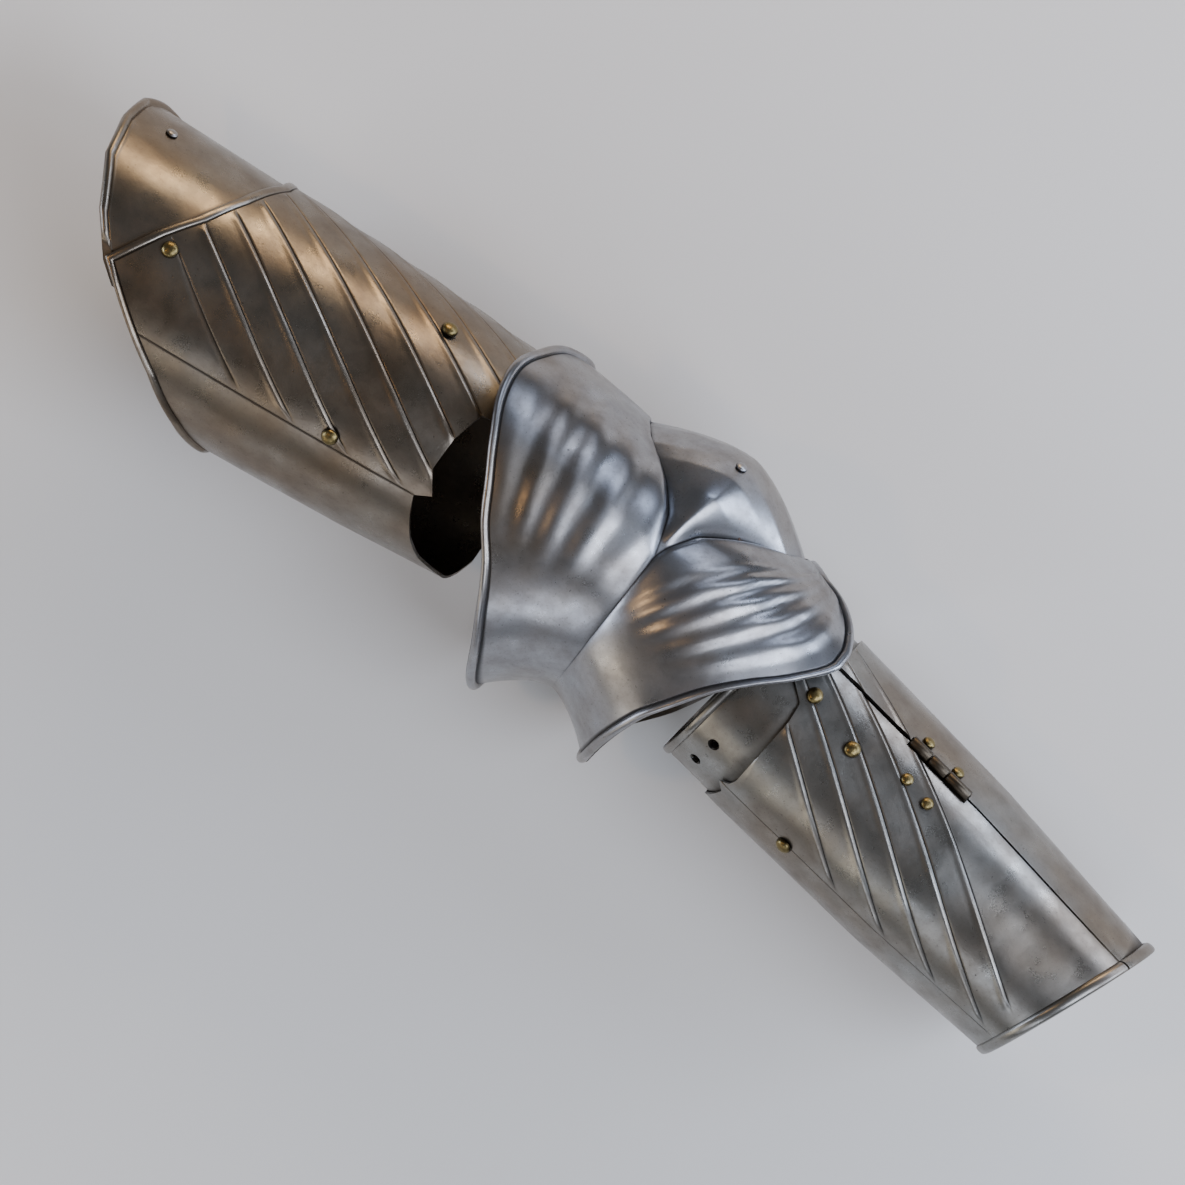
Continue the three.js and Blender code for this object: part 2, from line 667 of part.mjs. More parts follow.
function rivetHole({ s, deg, radius }) {
  return drill(s, deg, radius, SHANK_RADIUS + GAP);
}

function onUpper(s, deg, lift = 0) {
  return { s, deg, radius: upperRadius(s) + lift };
}

function onLower(s, deg, lift = 0) {
  return { s, deg, radius: lowerRadius(s) + lift };
}

const UPPER_RIVETS = {
  tongue: { s: 7.8, deg: 30.5, radius: upperRadius(7.8) - PLATE - GAP },
  outer: onUpper(32.8, 83, 0.4),
  inner: onUpper(70.5, 336, 1.4),
  leather: onUpper(146.4, 44, 1),
  strap: onUpper(127.7, 116, 1),
};
const LOWER_RIVETS = {
  leather: onLower(-13.9, 71, 1.1),
  outer: onLower(12.3, 77, 1.2),
  border: onLower(20.5, 146, 0.1),
  stud: onLower(62, 218, 0.1),
};
const LEAF_RIVETS = {
  outer: [onLower(36.9, 67, 0.5), onLower(49.6, 69, 1.2)],
  inner: [onLower(33, 39.5, 0.2), onLower(50, 39.5, 0.2)],
};
const COUTER_RIVET = { s: 5.7, deg: 35 };
COUTER_RIVET.radius = couterRadius(COUTER_RIVET.s, COUTER_RIVET.deg);

// Hinge

// A block on the ring: radii, stretch along X and the angle of its middle
function blockOnRing(from, to, inside, outside, deg, side, width) {
  const block = new THREE.BoxGeometry(to - from, outside - inside, width);
  block.translate((from + to) / 2, (inside + outside) / 2, side * (width / 2));
  return merged(block.rotateX(radians(deg)));
}

function knuckleGeometry(from, to) {
  const ring = new THREE.Shape().absarc(0, 0, HINGE.barrel, 0, 2 * Math.PI);
  ring.holes.push(new THREE.Path().absarc(0, 0, HINGE.bore, 0, 2 * Math.PI));
  const tube = new THREE.ExtrudeGeometry(ring, { depth: to - from, bevelEnabled: false, curveSegments: 7 });
  tube.rotateY(Math.PI / 2).translate(from, HINGE.radius, 0).rotateX(radians(SEAM.hinge));
  return merged(tube);
}

// A leaf inside the plate, with the necks and knuckles that belong to it
function leafGeometry(side, reach, knuckles) {
  const arc = HINGE.leaf;
  const start = SEAM.hinge + side * 2.6;
  const end = SEAM.hinge + side * reach;
  const profile = [
    [HINGE.from, arc.outside],
    [HINGE.to, arc.outside],
    [HINGE.to, arc.inside],
    [HINGE.from, arc.inside],
  ].map(([s, r]) => new THREE.Vector2(s, r));
  const angles = columnsBetween(Math.min(start, end), Math.max(start, end));
  const plate = loftRound(angles, () => profile, false);
  const bored = drillAlong(HINGE.bore);
  const necks = knuckles.map(([from, to]) => {
    const neck = blockOnRing(from, to, arc.inside, HINGE.radius + 0.5, SEAM.hinge, side, HINGE.neck);
    return cut(neck, [bored]);
  });
  const tubes = knuckles.map(([from, to]) => knuckleGeometry(from, to));
  return join([plate, ...necks, ...tubes]);
}

function drillAlong(size) {
  const length = HINGE.to - HINGE.from + 20;
  const tool = new THREE.CylinderGeometry(size, size, length, 14);
  tool.rotateZ(Math.PI / 2).translate((HINGE.from + HINGE.to) / 2, HINGE.radius, 0);
  return merged(tool.rotateX(radians(SEAM.hinge)));
}

function knuckleSpans() {
  const marks = HINGE.knuckles;
  return marks.slice(1).map((end, i) => [
    marks[i] + (i > 0 ? HINGE.knuckleGap / 2 : 0),
    end - (i < marks.length - 2 ? HINGE.knuckleGap / 2 : 0),
  ]);
}

function hingeNotch(side) {
  const room = 0.5;
  return blockOnRing(HINGE.from - room, HINGE.to + room, 40, 52, SEAM.hinge, side, HINGE.notch);
}

function pinGeometry() {
  const length = HINGE.to - HINGE.from;
  const pin = new THREE.CylinderGeometry(HINGE.pin, HINGE.pin, length, 10);
  pin.rotateZ(Math.PI / 2).translate((HINGE.from + HINGE.to) / 2, HINGE.radius, 0);
  return merged(pin.rotateX(radians(SEAM.hinge)));
}

// Leather inside the elbow: from the upper cannon under the couter's peak to the lame

// Radius in the arm frame of the inner face of a round piece whose axis lies beside X
function insideOf(axis, radiusAt) {
  return (x, deg) => {
    const tilt = radians(axis.tilt);
    const centre = axis.y + (x - axis.x) * Math.tan(tilt);
    const radius = radiusAt((x - axis.x) / Math.cos(tilt));
    const across = centre * Math.sin(radians(deg));
    return centre * Math.cos(radians(deg)) + Math.sqrt(radius ** 2 - across ** 2) - 0.5;
  };
}

const insideUpper = insideOf(UPPER, (s) => upperRadius(s) - PLATE);
const insideLame = insideOf(LOWER, () => LAME.radius - PLATE);
const insideCouter = (x, deg) => couterRadius(x, deg, true) - COUTER_PLATE - LEATHER.drop;
const LEATHER_PATH = [
  { x: -132, deg: 55.5, radius: insideUpper },
  { x: -110, deg: 52.5, radius: insideUpper },
  { x: -84, deg: 48.5, radius: insideUpper },
  { x: -56, deg: 44.5, radius: insideUpper },
  { x: -34, deg: 41, radius: () => 44.5 },
  { x: -14, deg: 38, radius: insideCouter },
  { x: 0, deg: 35.5, radius: insideCouter },
  { x: 11, deg: 38, radius: insideCouter },
  { x: 22, deg: 45, radius: insideCouter },
  { x: 38, deg: 56, radius: () => 41 },
  { x: 60, deg: 72, radius: insideLame },
  { x: 78, deg: 84, radius: insideLame },
  { x: 94, deg: 94, radius: insideLame },
];

function leatherGeometry() {
  const across = [-1, 0, 1];
  const points = LEATHER_PATH.flatMap(({ x, deg, radius }) => {
    const middle = radius(x, deg);
    const half = THREE.MathUtils.radToDeg(LEATHER.width / 2 / middle);
    const outer = across.map((side) => onRing(x, deg + side * half, radius(x, deg + side * half)));
    const inner = across.toReversed().map((side) => {
      const angle = deg + side * half;
      return onRing(x, angle, radius(x, angle) - LEATHER.thickness);
    });
    return [...outer, ...inner];
  });
  const size = across.length * 2;
  const triangles = [];
  for (let i = 0; i < LEATHER_PATH.length - 1; i += 1) {
    for (let j = 0; j < size; j += 1) {
      const next = (j + 1) % size;
      const [a, b, c, d] = [i * size + j, (i + 1) * size + j, (i + 1) * size + next, i * size + next];
      triangles.push([a, b, c], [a, c, d]);
    }
  }
  const last = (LEATHER_PATH.length - 1) * size;
  const cap = [[0, 1, 4], [0, 4, 5], [1, 2, 3], [1, 3, 4]];
  cap.forEach(([a, b, c]) => {
    triangles.push([a, b, c], [last + a, last + c, last + b]);
  });
  return closedGeometry(points, triangles);
}

// Groups for the two cannons, whose X runs along their own axes
function armGroup({ x, y, tilt }) {
  const group = new THREE.Group();
  group.position.set(x, y, 0);
  group.rotation.z = radians(tilt);
  group.updateMatrix();
  return group;
}

// A rivet's hole, made in a cannon's frame and moved to the arm frame
function holeInArm(place, group) {
  return rivetHole(place).applyMatrix4(group.matrix);
}

const upperArm = armGroup(UPPER);
const lowerArm = armGroup(LOWER);

upperArm.add(
  pieceOf(
    "upper_top_plate",
    cut(topPlateGeometry(), [
      rivetHole(UPPER_RIVETS.tongue),
      rivetHole(UPPER_RIVETS.outer),
      rivetHole(UPPER_RIVETS.inner),
    ]),
    STEEL,
  ),
  pieceOf(
    "upper_cannon",
    cut(upperCannonGeometry(), [
      rivetHole(UPPER_RIVETS.outer),
      rivetHole(UPPER_RIVETS.inner),
      rivetHole(UPPER_RIVETS.leather),
      rivetHole(UPPER_RIVETS.strap),
    ]),
    STEEL,
  ),
  rivet("rivet_tongue", DARK_STEEL, SMALL_HEAD, UPPER_RIVETS.tongue, PLATE),
  rivet("rivet_plate_outer", BRASS, DOMED_HEAD, UPPER_RIVETS.outer, 2 * PLATE + GAP + 0.4),
  rivet("rivet_plate_inner", BRASS, DOMED_HEAD, UPPER_RIVETS.inner, 2 * PLATE + GAP + 1.7),
  rivet("rivet_upper_leather", BRASS, DOMED_HEAD, UPPER_RIVETS.leather, PLATE + LEATHER.thickness + 1.6),
  rivet("rivet_upper_strap", BRASS, DOMED_HEAD, UPPER_RIVETS.strap, PLATE + 1),
);

const leafRivetHoles = (places) => places.map(rivetHole);
const outerHalf = halfCannonGeometry(
  SEAM.hinge + SEAM.halfGap,
  SEAM.closing - SEAM.halfGap,
  (deg) => lineAt(OUTER_HALF_EDGE, "deg", "s", deg),
  0,
);
const innerHalf = halfCannonGeometry(
  SEAM.closing + SEAM.halfGap - 360,
  SEAM.hinge - SEAM.halfGap,
  () => INNER_HALF_EDGE,
  3,
);
const knuckles = knuckleSpans();
lowerArm.add(
  pieceOf(
    "lower_lame",
    cut(lameGeometry(), [
      ...LAME.holes.map(({ s, deg }) => drill(s, deg, LAME.radius, LAME_HOLE_RADIUS, 14)),
      rivetHole(LOWER_RIVETS.leather),
    ]),
    DARK_STEEL,
  ),
  pieceOf(
    "lower_cannon_outer",
    cut(outerHalf, [
      hingeNotch(1),
      ...Object.values(LOWER_RIVETS).map(rivetHole),
      ...leafRivetHoles(LEAF_RIVETS.outer),
    ]),
    STEEL,
  ),
  pieceOf(
    "lower_cannon_inner",
    cut(innerHalf, [hingeNotch(-1), ...leafRivetHoles(LEAF_RIVETS.inner)]),
    STEEL,
  ),
  pieceOf(
    "hinge_leaf_outer",
    cut(leafGeometry(1, LEAF_REACH.outer, [knuckles[0], knuckles[2]]), leafRivetHoles(LEAF_RIVETS.outer)),
    STEEL,
  ),
  pieceOf(
    "hinge_leaf_inner",
    cut(leafGeometry(-1, LEAF_REACH.inner, [knuckles[1]]), leafRivetHoles(LEAF_RIVETS.inner)),
    STEEL,
  ),
  pieceOf("hinge_pin", pinGeometry(), DARK_STEEL),
  rivet("rivet_lower_leather", BRASS, DOMED_HEAD, LOWER_RIVETS.leather, 2 * PLATE + LEATHER.thickness + 2.4),
  rivet("rivet_lower_outer", BRASS, DOMED_HEAD, LOWER_RIVETS.outer, PLATE + 1.5),
  rivet("rivet_lower_border", BRASS, DOMED_HEAD, LOWER_RIVETS.border, PLATE + 0.1),
  rivet("closing_stud", DARK_STEEL, STUD_HEAD, LOWER_RIVETS.stud, PLATE + 0.1),
);
["outer", "inner"].forEach((half) => {
  LEAF_RIVETS[half].forEach((place, i) => {
    const stack = place.radius - HINGE.leaf.inside;
    lowerArm.add(rivet(`rivet_leaf_${half}_${i + 1}`, BRASS, HINGE_HEAD, place, stack));
  });
});

const vambrace = new THREE.Group();
vambrace.add(
  upperArm,
  lowerArm,
  pieceOf("couter", cut(couterGeometry(), [rivetHole(COUTER_RIVET)]), STEEL),
  pieceOf(
    "elbow_leather",
    cut(leatherGeometry(), [
      holeInArm(UPPER_RIVETS.leather, upperArm),
      holeInArm(LOWER_RIVETS.leather, lowerArm),
      rivetHole(COUTER_RIVET),
    ]),
    LEATHER_BROWN,
  ),
  rivet("rivet_couter", DARK_STEEL, SMALL_HEAD, COUTER_RIVET, COUTER_PLATE + LEATHER.drop + LEATHER.thickness + 1.2),
);
vambrace.rotation.set(radians(REST.roll), radians(REST.pitch), 0);
vambrace.updateMatrixWorld(true);
const extent = new THREE.Box3().setFromObject(vambrace, true);
const middle = extent.getCenter(new THREE.Vector3());
vambrace.position.set(-middle.x, -middle.y, -extent.min.z);

export default vambrace;
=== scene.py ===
# %% [markdown]
# # A fluted steel arm defence
# A whole arm defence of plate armour lies on its inner side: an upper cannon round the
# upper arm, a couter round the elbow, and a lower cannon round the forearm. The CAD model
# has every piece already, with flat facets. Polished steel shows each facet in its
# reflections, so here every piece is built again as a fine mesh on the same sizes, and
# gets its own worked metal or leather. All sizes are in millimetres until a mesh is made;
# meshes are in metres.

# %% Load the frame
import math

import bmesh
import bpy
import numpy as np
from mathutils import Euler, Matrix, Vector


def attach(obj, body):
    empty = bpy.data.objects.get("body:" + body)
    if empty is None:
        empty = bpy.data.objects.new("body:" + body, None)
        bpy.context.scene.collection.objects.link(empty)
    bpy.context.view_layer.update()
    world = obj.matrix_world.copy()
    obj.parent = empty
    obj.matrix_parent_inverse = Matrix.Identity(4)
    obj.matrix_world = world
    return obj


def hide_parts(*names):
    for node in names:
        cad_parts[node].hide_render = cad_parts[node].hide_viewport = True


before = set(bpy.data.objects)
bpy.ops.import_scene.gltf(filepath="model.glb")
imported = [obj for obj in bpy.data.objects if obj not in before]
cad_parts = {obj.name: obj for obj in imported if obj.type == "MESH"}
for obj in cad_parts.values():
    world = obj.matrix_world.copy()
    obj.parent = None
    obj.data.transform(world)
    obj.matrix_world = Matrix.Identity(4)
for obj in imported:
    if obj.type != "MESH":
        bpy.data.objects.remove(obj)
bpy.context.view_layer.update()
MM = 0.001
print("CAD nodes:", len(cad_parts))

# %% [markdown]
# ## The arm frame
# Armour is made to an arm, so it is easiest to describe along one. X runs down the arm to
# the wrist, Y points to the elbow's side and Z out of the arm's outer side. Angles go round
# the arm from Y to Z. The arm lies slightly rolled on the table, and each cannon has an
# axis of its own, a few degrees off the arm's, because the arm is a little bent. A matrix
# for each of these three frames lets every piece be built in its own simple terms.

# %% Frames of the arm and of both cannons
REST_ROLL, REST_PITCH = 0.917, -0.057
ARM_ORIGIN = Vector((10.010, 10.313, 59.346))
UPPER = {"x": -263.6, "y": -27.9, "tilt": 6.55}
LOWER = {"x": 98.4, "y": -15.2, "tilt": -6.9}

turn = Euler((math.radians(REST_ROLL), math.radians(REST_PITCH), 0), "XYZ").to_matrix().to_4x4()
ARM = Matrix.Translation(ARM_ORIGIN) @ turn


def cannon_frame(axis):
    place = Matrix.Translation(Vector((axis["x"], axis["y"], 0)))
    return ARM @ place @ Matrix.Rotation(math.radians(axis["tilt"]), 4, "Z")


UPPER_ARM = cannon_frame(UPPER)
LOWER_ARM = cannon_frame(LOWER)
print("arm frame at", [round(v, 1) for v in ARM.translation])

# %% [markdown]
# ## Steps between measured places
# An armourer cuts an edge by eye, so the photograph gives it as a few measured places. Each
# table below holds such places, and these helpers give the values between them. `line_at`
# goes straight, `smooth` fades from 0 to 1, and `eased` is level at every knot, as metal is
# on top of a ridge and at the bottom of a groove.

# %% Read between measured places


def line_at(table, key, column, value):
    return np.interp(value, table[key], table[column])


def smooth(value, start, end):
    t = np.clip((value - start) / (end - start), 0, 1)
    return t * t * (3 - 2 * t)


def eased(values, knots, heights):
    """Height between knots, with level tops and bottoms."""
    values, knots, heights = (np.asarray(part, float) for part in (values, knots, heights))
    i = np.clip(np.searchsorted(knots, values, side="right") - 1, 0, len(knots) - 2)
    t = np.clip((values - knots[i]) / (knots[i + 1] - knots[i]), 0, 1)
    return heights[i] + (heights[i + 1] - heights[i]) * (0.5 - 0.5 * np.cos(math.pi * t))


print("half way up a ridge:", eased(0.25, (0, 0.5, 1), (0, 1, 0)).round(2))

# %% [markdown]
# ## Meshes from millimetres
# Every piece ends as a list of points and faces. `from_pydata` takes them as they are, which
# gives more control than modifiers do: each row of points lies where a line on the metal
# runs. Points that fall together are merged, smooth shading hides the facets, and edges
# over 50 degrees stay sharp. The `groove` attribute keeps a number for each point, which
# says how dark the steel is painted there: dirt in grooves, and painted shadow beside raised
# edges. The materials read it later.

# %% Make a mesh object
DOUBLES = 2e-6
SHARP_FROM = math.radians(50)


def placed(matrix, points):
    """Points in millimetres, moved by a matrix."""
    return np.asarray(points) @ np.array(matrix.to_3x3()).T + np.array(matrix.translation)


def shade(mesh):
    mesh.shade_smooth()
    mesh.set_sharp_from_angle(angle=SHARP_FROM)


def mesh_object(name, points, faces, marks=None):
    """A mesh in metres from points in millimetres; marks holds a groove value per point."""
    mesh = bpy.data.meshes.new(name)
    mesh.from_pydata((np.asarray(points) * MM).tolist(), [], faces)
    if marks is not None:
        layer = mesh.attributes.new("groove", "FLOAT", "POINT")
        layer.data.foreach_set("value", np.asarray(marks, np.float32))
    work = bmesh.new()
    work.from_mesh(mesh)
    bmesh.ops.remove_doubles(work, verts=work.verts, dist=DOUBLES)
    bmesh.ops.recalc_face_normals(work, faces=work.faces)
    work.to_mesh(mesh)
    work.free()
    shade(mesh)
    piece = bpy.data.objects.new(name, mesh)
    bpy.context.collection.objects.link(piece)
    return piece


print("points closer than", DOUBLES / MM, "mm are merged")

# %% [markdown]
# ## Plates round the arm
# A plate of armour is one sheet with an outer face, an inner face and edges. Cut through it
# along the arm and you see a long thin loop. `loft_round` asks for that loop at each angle
# and joins the loops into a closed plate. That way a plate gets its thickness, its rim and
# its flutes at once, and no solidify or boolean step can tear it. `sway` may turn single
# points a little further round the arm.

# %% Loft a plate


def tube_faces(columns, size, ring):
    """Faces between neighbouring loops of points, with end caps unless they form a ring."""
    faces = []
    for i in range(columns if ring else columns - 1):
        near, far = i * size, ((i + 1) % columns) * size
        faces += [(near + j, far + j, far + (j + 1) % size, near + (j + 1) % size) for j in range(size)]
    if not ring:
        last = (columns - 1) * size
        faces += [tuple(range(size)), tuple(range(last + size - 1, last - 1, -1))]
    return faces


def loft_round(name, matrix, angles, profile_at, ring, sway=None):
    """A closed plate; profile_at gives the points (along, out) and marks for an angle."""
    angles = np.asarray(angles)
    loops = [profile_at(deg) for deg in angles]
    profiles = np.array([points for points, _ in loops])
    marks = np.array([dark for _, dark in loops]).reshape(-1)
    turned = np.radians(angles[:, None] + (sway(angles, profiles) if sway else 0.0))
    along, out = profiles[..., 0], profiles[..., 1]
    local = np.stack([along, out * np.cos(turned), out * np.sin(turned)], axis=-1).reshape(-1, 3)
    faces = tube_faces(len(angles), profiles.shape[1], ring)
    piece = mesh_object(name, placed(matrix, local), faces, marks)
    print(name, len(piece.data.polygons), "faces")
    return piece


# %% [markdown]
# ## Rolled rims
# An armourer turns a free edge over, often round a wire, so that it is stiff and doesn't
# cut. From outside that is a bead with a thin groove behind it. The bead is drawn as half
# an ellipse that runs on past the edge, and the groove as two points, which is enough for
# the dark line that the eye looks for.

# %% A rolled rim
PLATE = 1.3
GAP = 0.35
ROLL_WIDTH, ROLL_HEIGHT = 3.9, 2.0
ROLL_TURNS = np.radians((178, 165, 140, 115, 90, 65, 40, 15, -15, -45))
ROLL_FOOT, ROLL_GROOVE = 1.22, 1.06
RIM_GROOVE, RIM_DIRT = 0.3, 0.8
UP_THE_ARM = np.array((-1.0, 0.0))


def rolled_rim(end, along, scale=1.0, depth=0.0):
    """Points of a rolled rim, from the plate's face over the bead to its edge."""
    out = np.array((-along[1], along[0]))
    if out[1] < 0:
        out = -out
    half = ROLL_WIDTH / 2
    bead = [end - along * (half - half * math.cos(a)) + out * (ROLL_HEIGHT * scale * math.sin(a))
            for a in ROLL_TURNS]
    groove = [end - along * ROLL_WIDTH * ROLL_FOOT, end - along * ROLL_WIDTH * ROLL_GROOVE - out * depth]
    return np.array(groove + bead)


print("a rim has", len(ROLL_TURNS) + 2, "rows")

# %% [markdown]
# ## Flutes
# Flutes stiffen thin plate and catch the light. On the cannons each one is a broad, nearly
# flat pillow that rises to a crest and drops at once into a sharp groove. They are hammered
# over a grooved stake and the grooves are then cut crisp with a chisel and file. Sculpting
# would blur them and a displacement map would step across the mesh, so the rows of the mesh
# follow the grooves and lie closer together beside them.

# %% Rows of a flute
FLUTE_HEIGHT = 1.3
FLUTE_STEPS = (0, 0.012, 0.03, 0.08, 0.18, 0.3, 0.42, 0.54, 0.64, 0.72, 0.78, 0.82,
               0.86, 0.9, 0.93, 0.955, 0.975, 0.988)
FLUTE_KNOTS = (0, 0.03, 0.4, 0.7, 0.9, 0.98, 1)
FLUTE_LIFTS = (-0.25, 0.0, 0.04, 0.14, 0.42, 0.08, -0.25)
GROOVE_REACH, GROOVE_FALL, CREST_SIDE = 0.055, 1.5, 0.7


def flute_lift(share):
    return eased(share, FLUTE_KNOTS, FLUTE_LIFTS) * FLUTE_HEIGHT


def groove_mark(share):
    """How dark the metal is: full in the groove, gone a little way beside it."""
    away = np.minimum(share, (1 - share) * CREST_SIDE)
    return np.clip(1 - away / GROOVE_REACH, 0, 1) ** GROOVE_FALL


def fluted_rows(first, pitch, count):
    """Places and shares of all rows from groove to groove, in order along the cannon."""
    shares = np.tile(FLUTE_STEPS, count)
    numbers = np.repeat(np.arange(count), len(FLUTE_STEPS))
    return first + (numbers + shares) * pitch, shares


print("crest of a flute:", round(float(flute_lift(0.9)), 2), "mm")

# %% [markdown]
# A single line is cut along each cannon where the flutes end. It is under a millimetre
# wide, far less than the step between columns, so extra columns stand close beside it.

# %% The incised lines
LINE_DEPTH, LINE_DARK, LINE_REACH = 0.45, 0.8, 0.4
LINE_COLUMNS = (-1.2, -0.7, -0.35, 0, 0.35, 0.7, 1.2)
LINE_ROOM = 1.3


def incised(deg, line):
    """Depth share of a line cut along the cannon at an angle."""
    return float(np.clip(1 - abs(deg - line) / LINE_REACH, 0, 1))


def angles_between(start, end, step, lines=()):
    """Even angles, with closer ones beside each line."""
    even = np.linspace(start, end, max(2, round((end - start) / step) + 1))
    near = [line + shift for line in lines for shift in LINE_COLUMNS]
    kept = [a for a in even if all(abs(a - line) > LINE_ROOM for line in lines)]
    return np.array(sorted(kept + [a for a in near if start < a < end]))


print("columns of a quarter turn with one line:", len(angles_between(0, 90, 1, (45,))))

# %% [markdown]
# ## The upper cannon
# The upper cannon is a tube for the upper arm, rolled up from one sheet. It narrows a
# little to the elbow. Its top edge drops towards the armpit, and its edge at the elbow is
# cut away in front so that the arm can bend. Both edges are given all the way round as the
# place s along the cannon. The flutes climb round the outer side and stop at a line on
# each side of the plain part that lies against the body.

# %% Sizes of the upper cannon
UPPER_RADII = {"s": (-20, 64, 113, 149, 178, 212), "radius": (57.4, 55.8, 54.1, 52.5, 50.4, 48.2)}
UPPER_TOP_EDGE = {
    "deg": (0, 18, 45, 64, 79, 99, 115, 135, 157, 180, 218, 250, 310, 360),
    "s": (58.2, 56.6, 45.5, 35.3, 24.2, 11.5, 28.3, 49.6, 67.7, 82, 89, 84, 65, 58.2),
}
UPPER_ELBOW_EDGE = {
    "deg": (0, 38, 66, 72, 88, 105, 117, 121, 132, 148, 161, 175, 220, 360),
    "s": (208, 209, 205, 176, 171.4, 170.2, 175.9, 169, 171.8, 177.1, 183.3, 195.2, 203, 208),
}
UPPER_FLUTES = {"count": 14, "first": 46.7, "pitch": 25.6, "slope": 1.33, "from": -45, "to": 121}
UPPER_LINES = (UPPER_FLUTES["to"], UPPER_FLUTES["from"] + 360)


def upper_radius(s):
    return line_at(UPPER_RADII, "s", "radius", s)


print("upper cannon", UPPER_RADII["radius"][0] * 2, "mm wide at the top")

# %% [markdown]
# The grooves wind round the cannon at a steady slope, 25.6 mm apart. Behind the arm, where
# nothing is fluted, the same rows run back to their start, so that the mesh stays whole.

# %% Where the upper flutes run
UPPER_FADE = (0.5, 5)


def upper_angle(deg):
    """An angle counted from the line where the flutes begin."""
    return (deg - UPPER_FLUTES["from"]) % 360 + UPPER_FLUTES["from"]


def upper_groove_start(deg):
    first, slope = UPPER_FLUTES["first"], UPPER_FLUTES["slope"]
    start, end = UPPER_FLUTES["from"], UPPER_FLUTES["to"]
    angle = upper_angle(deg)
    if angle <= end:
        return first + slope * (angle - 90)
    back = (start + 360 - angle) / (start + 360 - end)
    return first + slope * (start + (end - start) * back - 90)


def upper_fluted(deg):
    """1 where the cannon is fluted, fading to 0 just before each line."""
    angle = upper_angle(deg)
    return float(smooth(min(angle - UPPER_FLUTES["from"], UPPER_FLUTES["to"] - angle), *UPPER_FADE))


print("first groove at", round(upper_groove_start(90), 1), "mm")

# %% [markdown]
# The loop at one angle has a rolled rim, a plain lead-in, the fluted face, the cut edge at
# the elbow and the smooth inside. The rim's bead is full on the body's side and low under
# the top plate, where it would be in the way.

# %% Build the upper cannon
LEAD_ROWS, INSIDE_ROWS = 11, 30
BEAD_SPAN, BEAD_FADE, BEAD_LEAST = (98, 345), 8, 0.35
RIM_FADE, ELBOW_FADE = 4, 2
EDGE_ROUND = 0.5


def upper_face(deg, start, elbow):
    """The outer face between the rim and the elbow's edge, with its marks."""
    rows, shares = fluted_rows(upper_groove_start(deg), UPPER_FLUTES["pitch"], UPPER_FLUTES["count"])
    inside = (rows > start) & (rows < elbow)
    lead = np.linspace(start, max(min(rows[0], elbow), start), LEAD_ROWS + 1)[:-1]
    along = np.concatenate([lead, np.clip(rows, start, elbow)])
    shares = np.concatenate([np.full(LEAD_ROWS, 0.5), shares])
    near_elbow = smooth(along, elbow - ELBOW_FADE, elbow)
    near_end = np.minimum(smooth(along, start, start + RIM_FADE), 1 - near_elbow)
    shown = upper_fluted(deg) * np.concatenate([np.zeros(LEAD_ROWS), inside]) * near_end
    line = max(incised(deg, edge) for edge in UPPER_LINES) * near_end
    out = upper_radius(along) + flute_lift(shares) * shown - LINE_DEPTH * line
    return np.stack([along, out], axis=1), np.maximum(groove_mark(shares) * shown, LINE_DARK * line)


def upper_profile(deg):
    top = float(line_at(UPPER_TOP_EDGE, "deg", "s", deg))
    elbow = float(line_at(UPPER_ELBOW_EDGE, "deg", "s", deg))
    free = float(smooth(min(deg - BEAD_SPAN[0], BEAD_SPAN[1] - deg), 0, BEAD_FADE))
    bead = BEAD_LEAST + (1 - BEAD_LEAST) * free
    roll = rolled_rim(np.array((top, upper_radius(top))), UP_THE_ARM, bead, RIM_GROOVE)[::-1]
    face, dark = upper_face(deg, top + ROLL_WIDTH * ROLL_FOOT, elbow)
    edge = np.array([[elbow, upper_radius(elbow)], [elbow, upper_radius(elbow) - PLATE * EDGE_ROUND]])
    wall_s = np.clip(np.linspace(elbow, top, INSIDE_ROWS), top, elbow)
    wall = np.stack([wall_s, upper_radius(wall_s) - PLATE], axis=1)
    roll_mark = np.zeros(len(roll))
    roll_mark[-2:] = RIM_DIRT
    marks = np.concatenate([roll_mark, dark, np.zeros(len(edge) + len(wall))])
    return np.concatenate([roll, face, edge, wall]), marks


upper_cannon = loft_round("fluted_upper_cannon", UPPER_ARM, angles_between(0, 360, 1.0, UPPER_LINES)[:-1],
                          upper_profile, ring=True)

# %% [markdown]
# ## The top plate
# A plain tongue-shaped plate lengthens the cannon over the shoulder. It lies under the
# cannon's edge and is riveted there, so it is lofted on the same radii, one plate and a gap
# further in. Its own rim is rolled, but the roll sinks to nothing where it slips under the
# cannon. The marks darken it along that overlap.

# %% Build the top plate
TOP_PLATE_SPAN = (-33, 109)
TOP_PLATE_OVERLAP = 13
TOP_PLATE_RIM = {
    "deg": (-33, -25, -7, 16, 38, 60, 83, 101, 109),
    "s": (20, 11.5, -0.8, -10.7, -13, -10.7, -0.8, 11.5, 20),
}
TOP_PLATE_FOOT, TOP_PLATE_GROOVE = ROLL_WIDTH * 1.3, 0.25
OVERLAP_DARK = 1.6
SEEN_ROWS, SEEN_TO = 40, 1.2
HIDDEN_ROWS, HIDDEN_FROM = 12, 1
SINK_OVER = 4


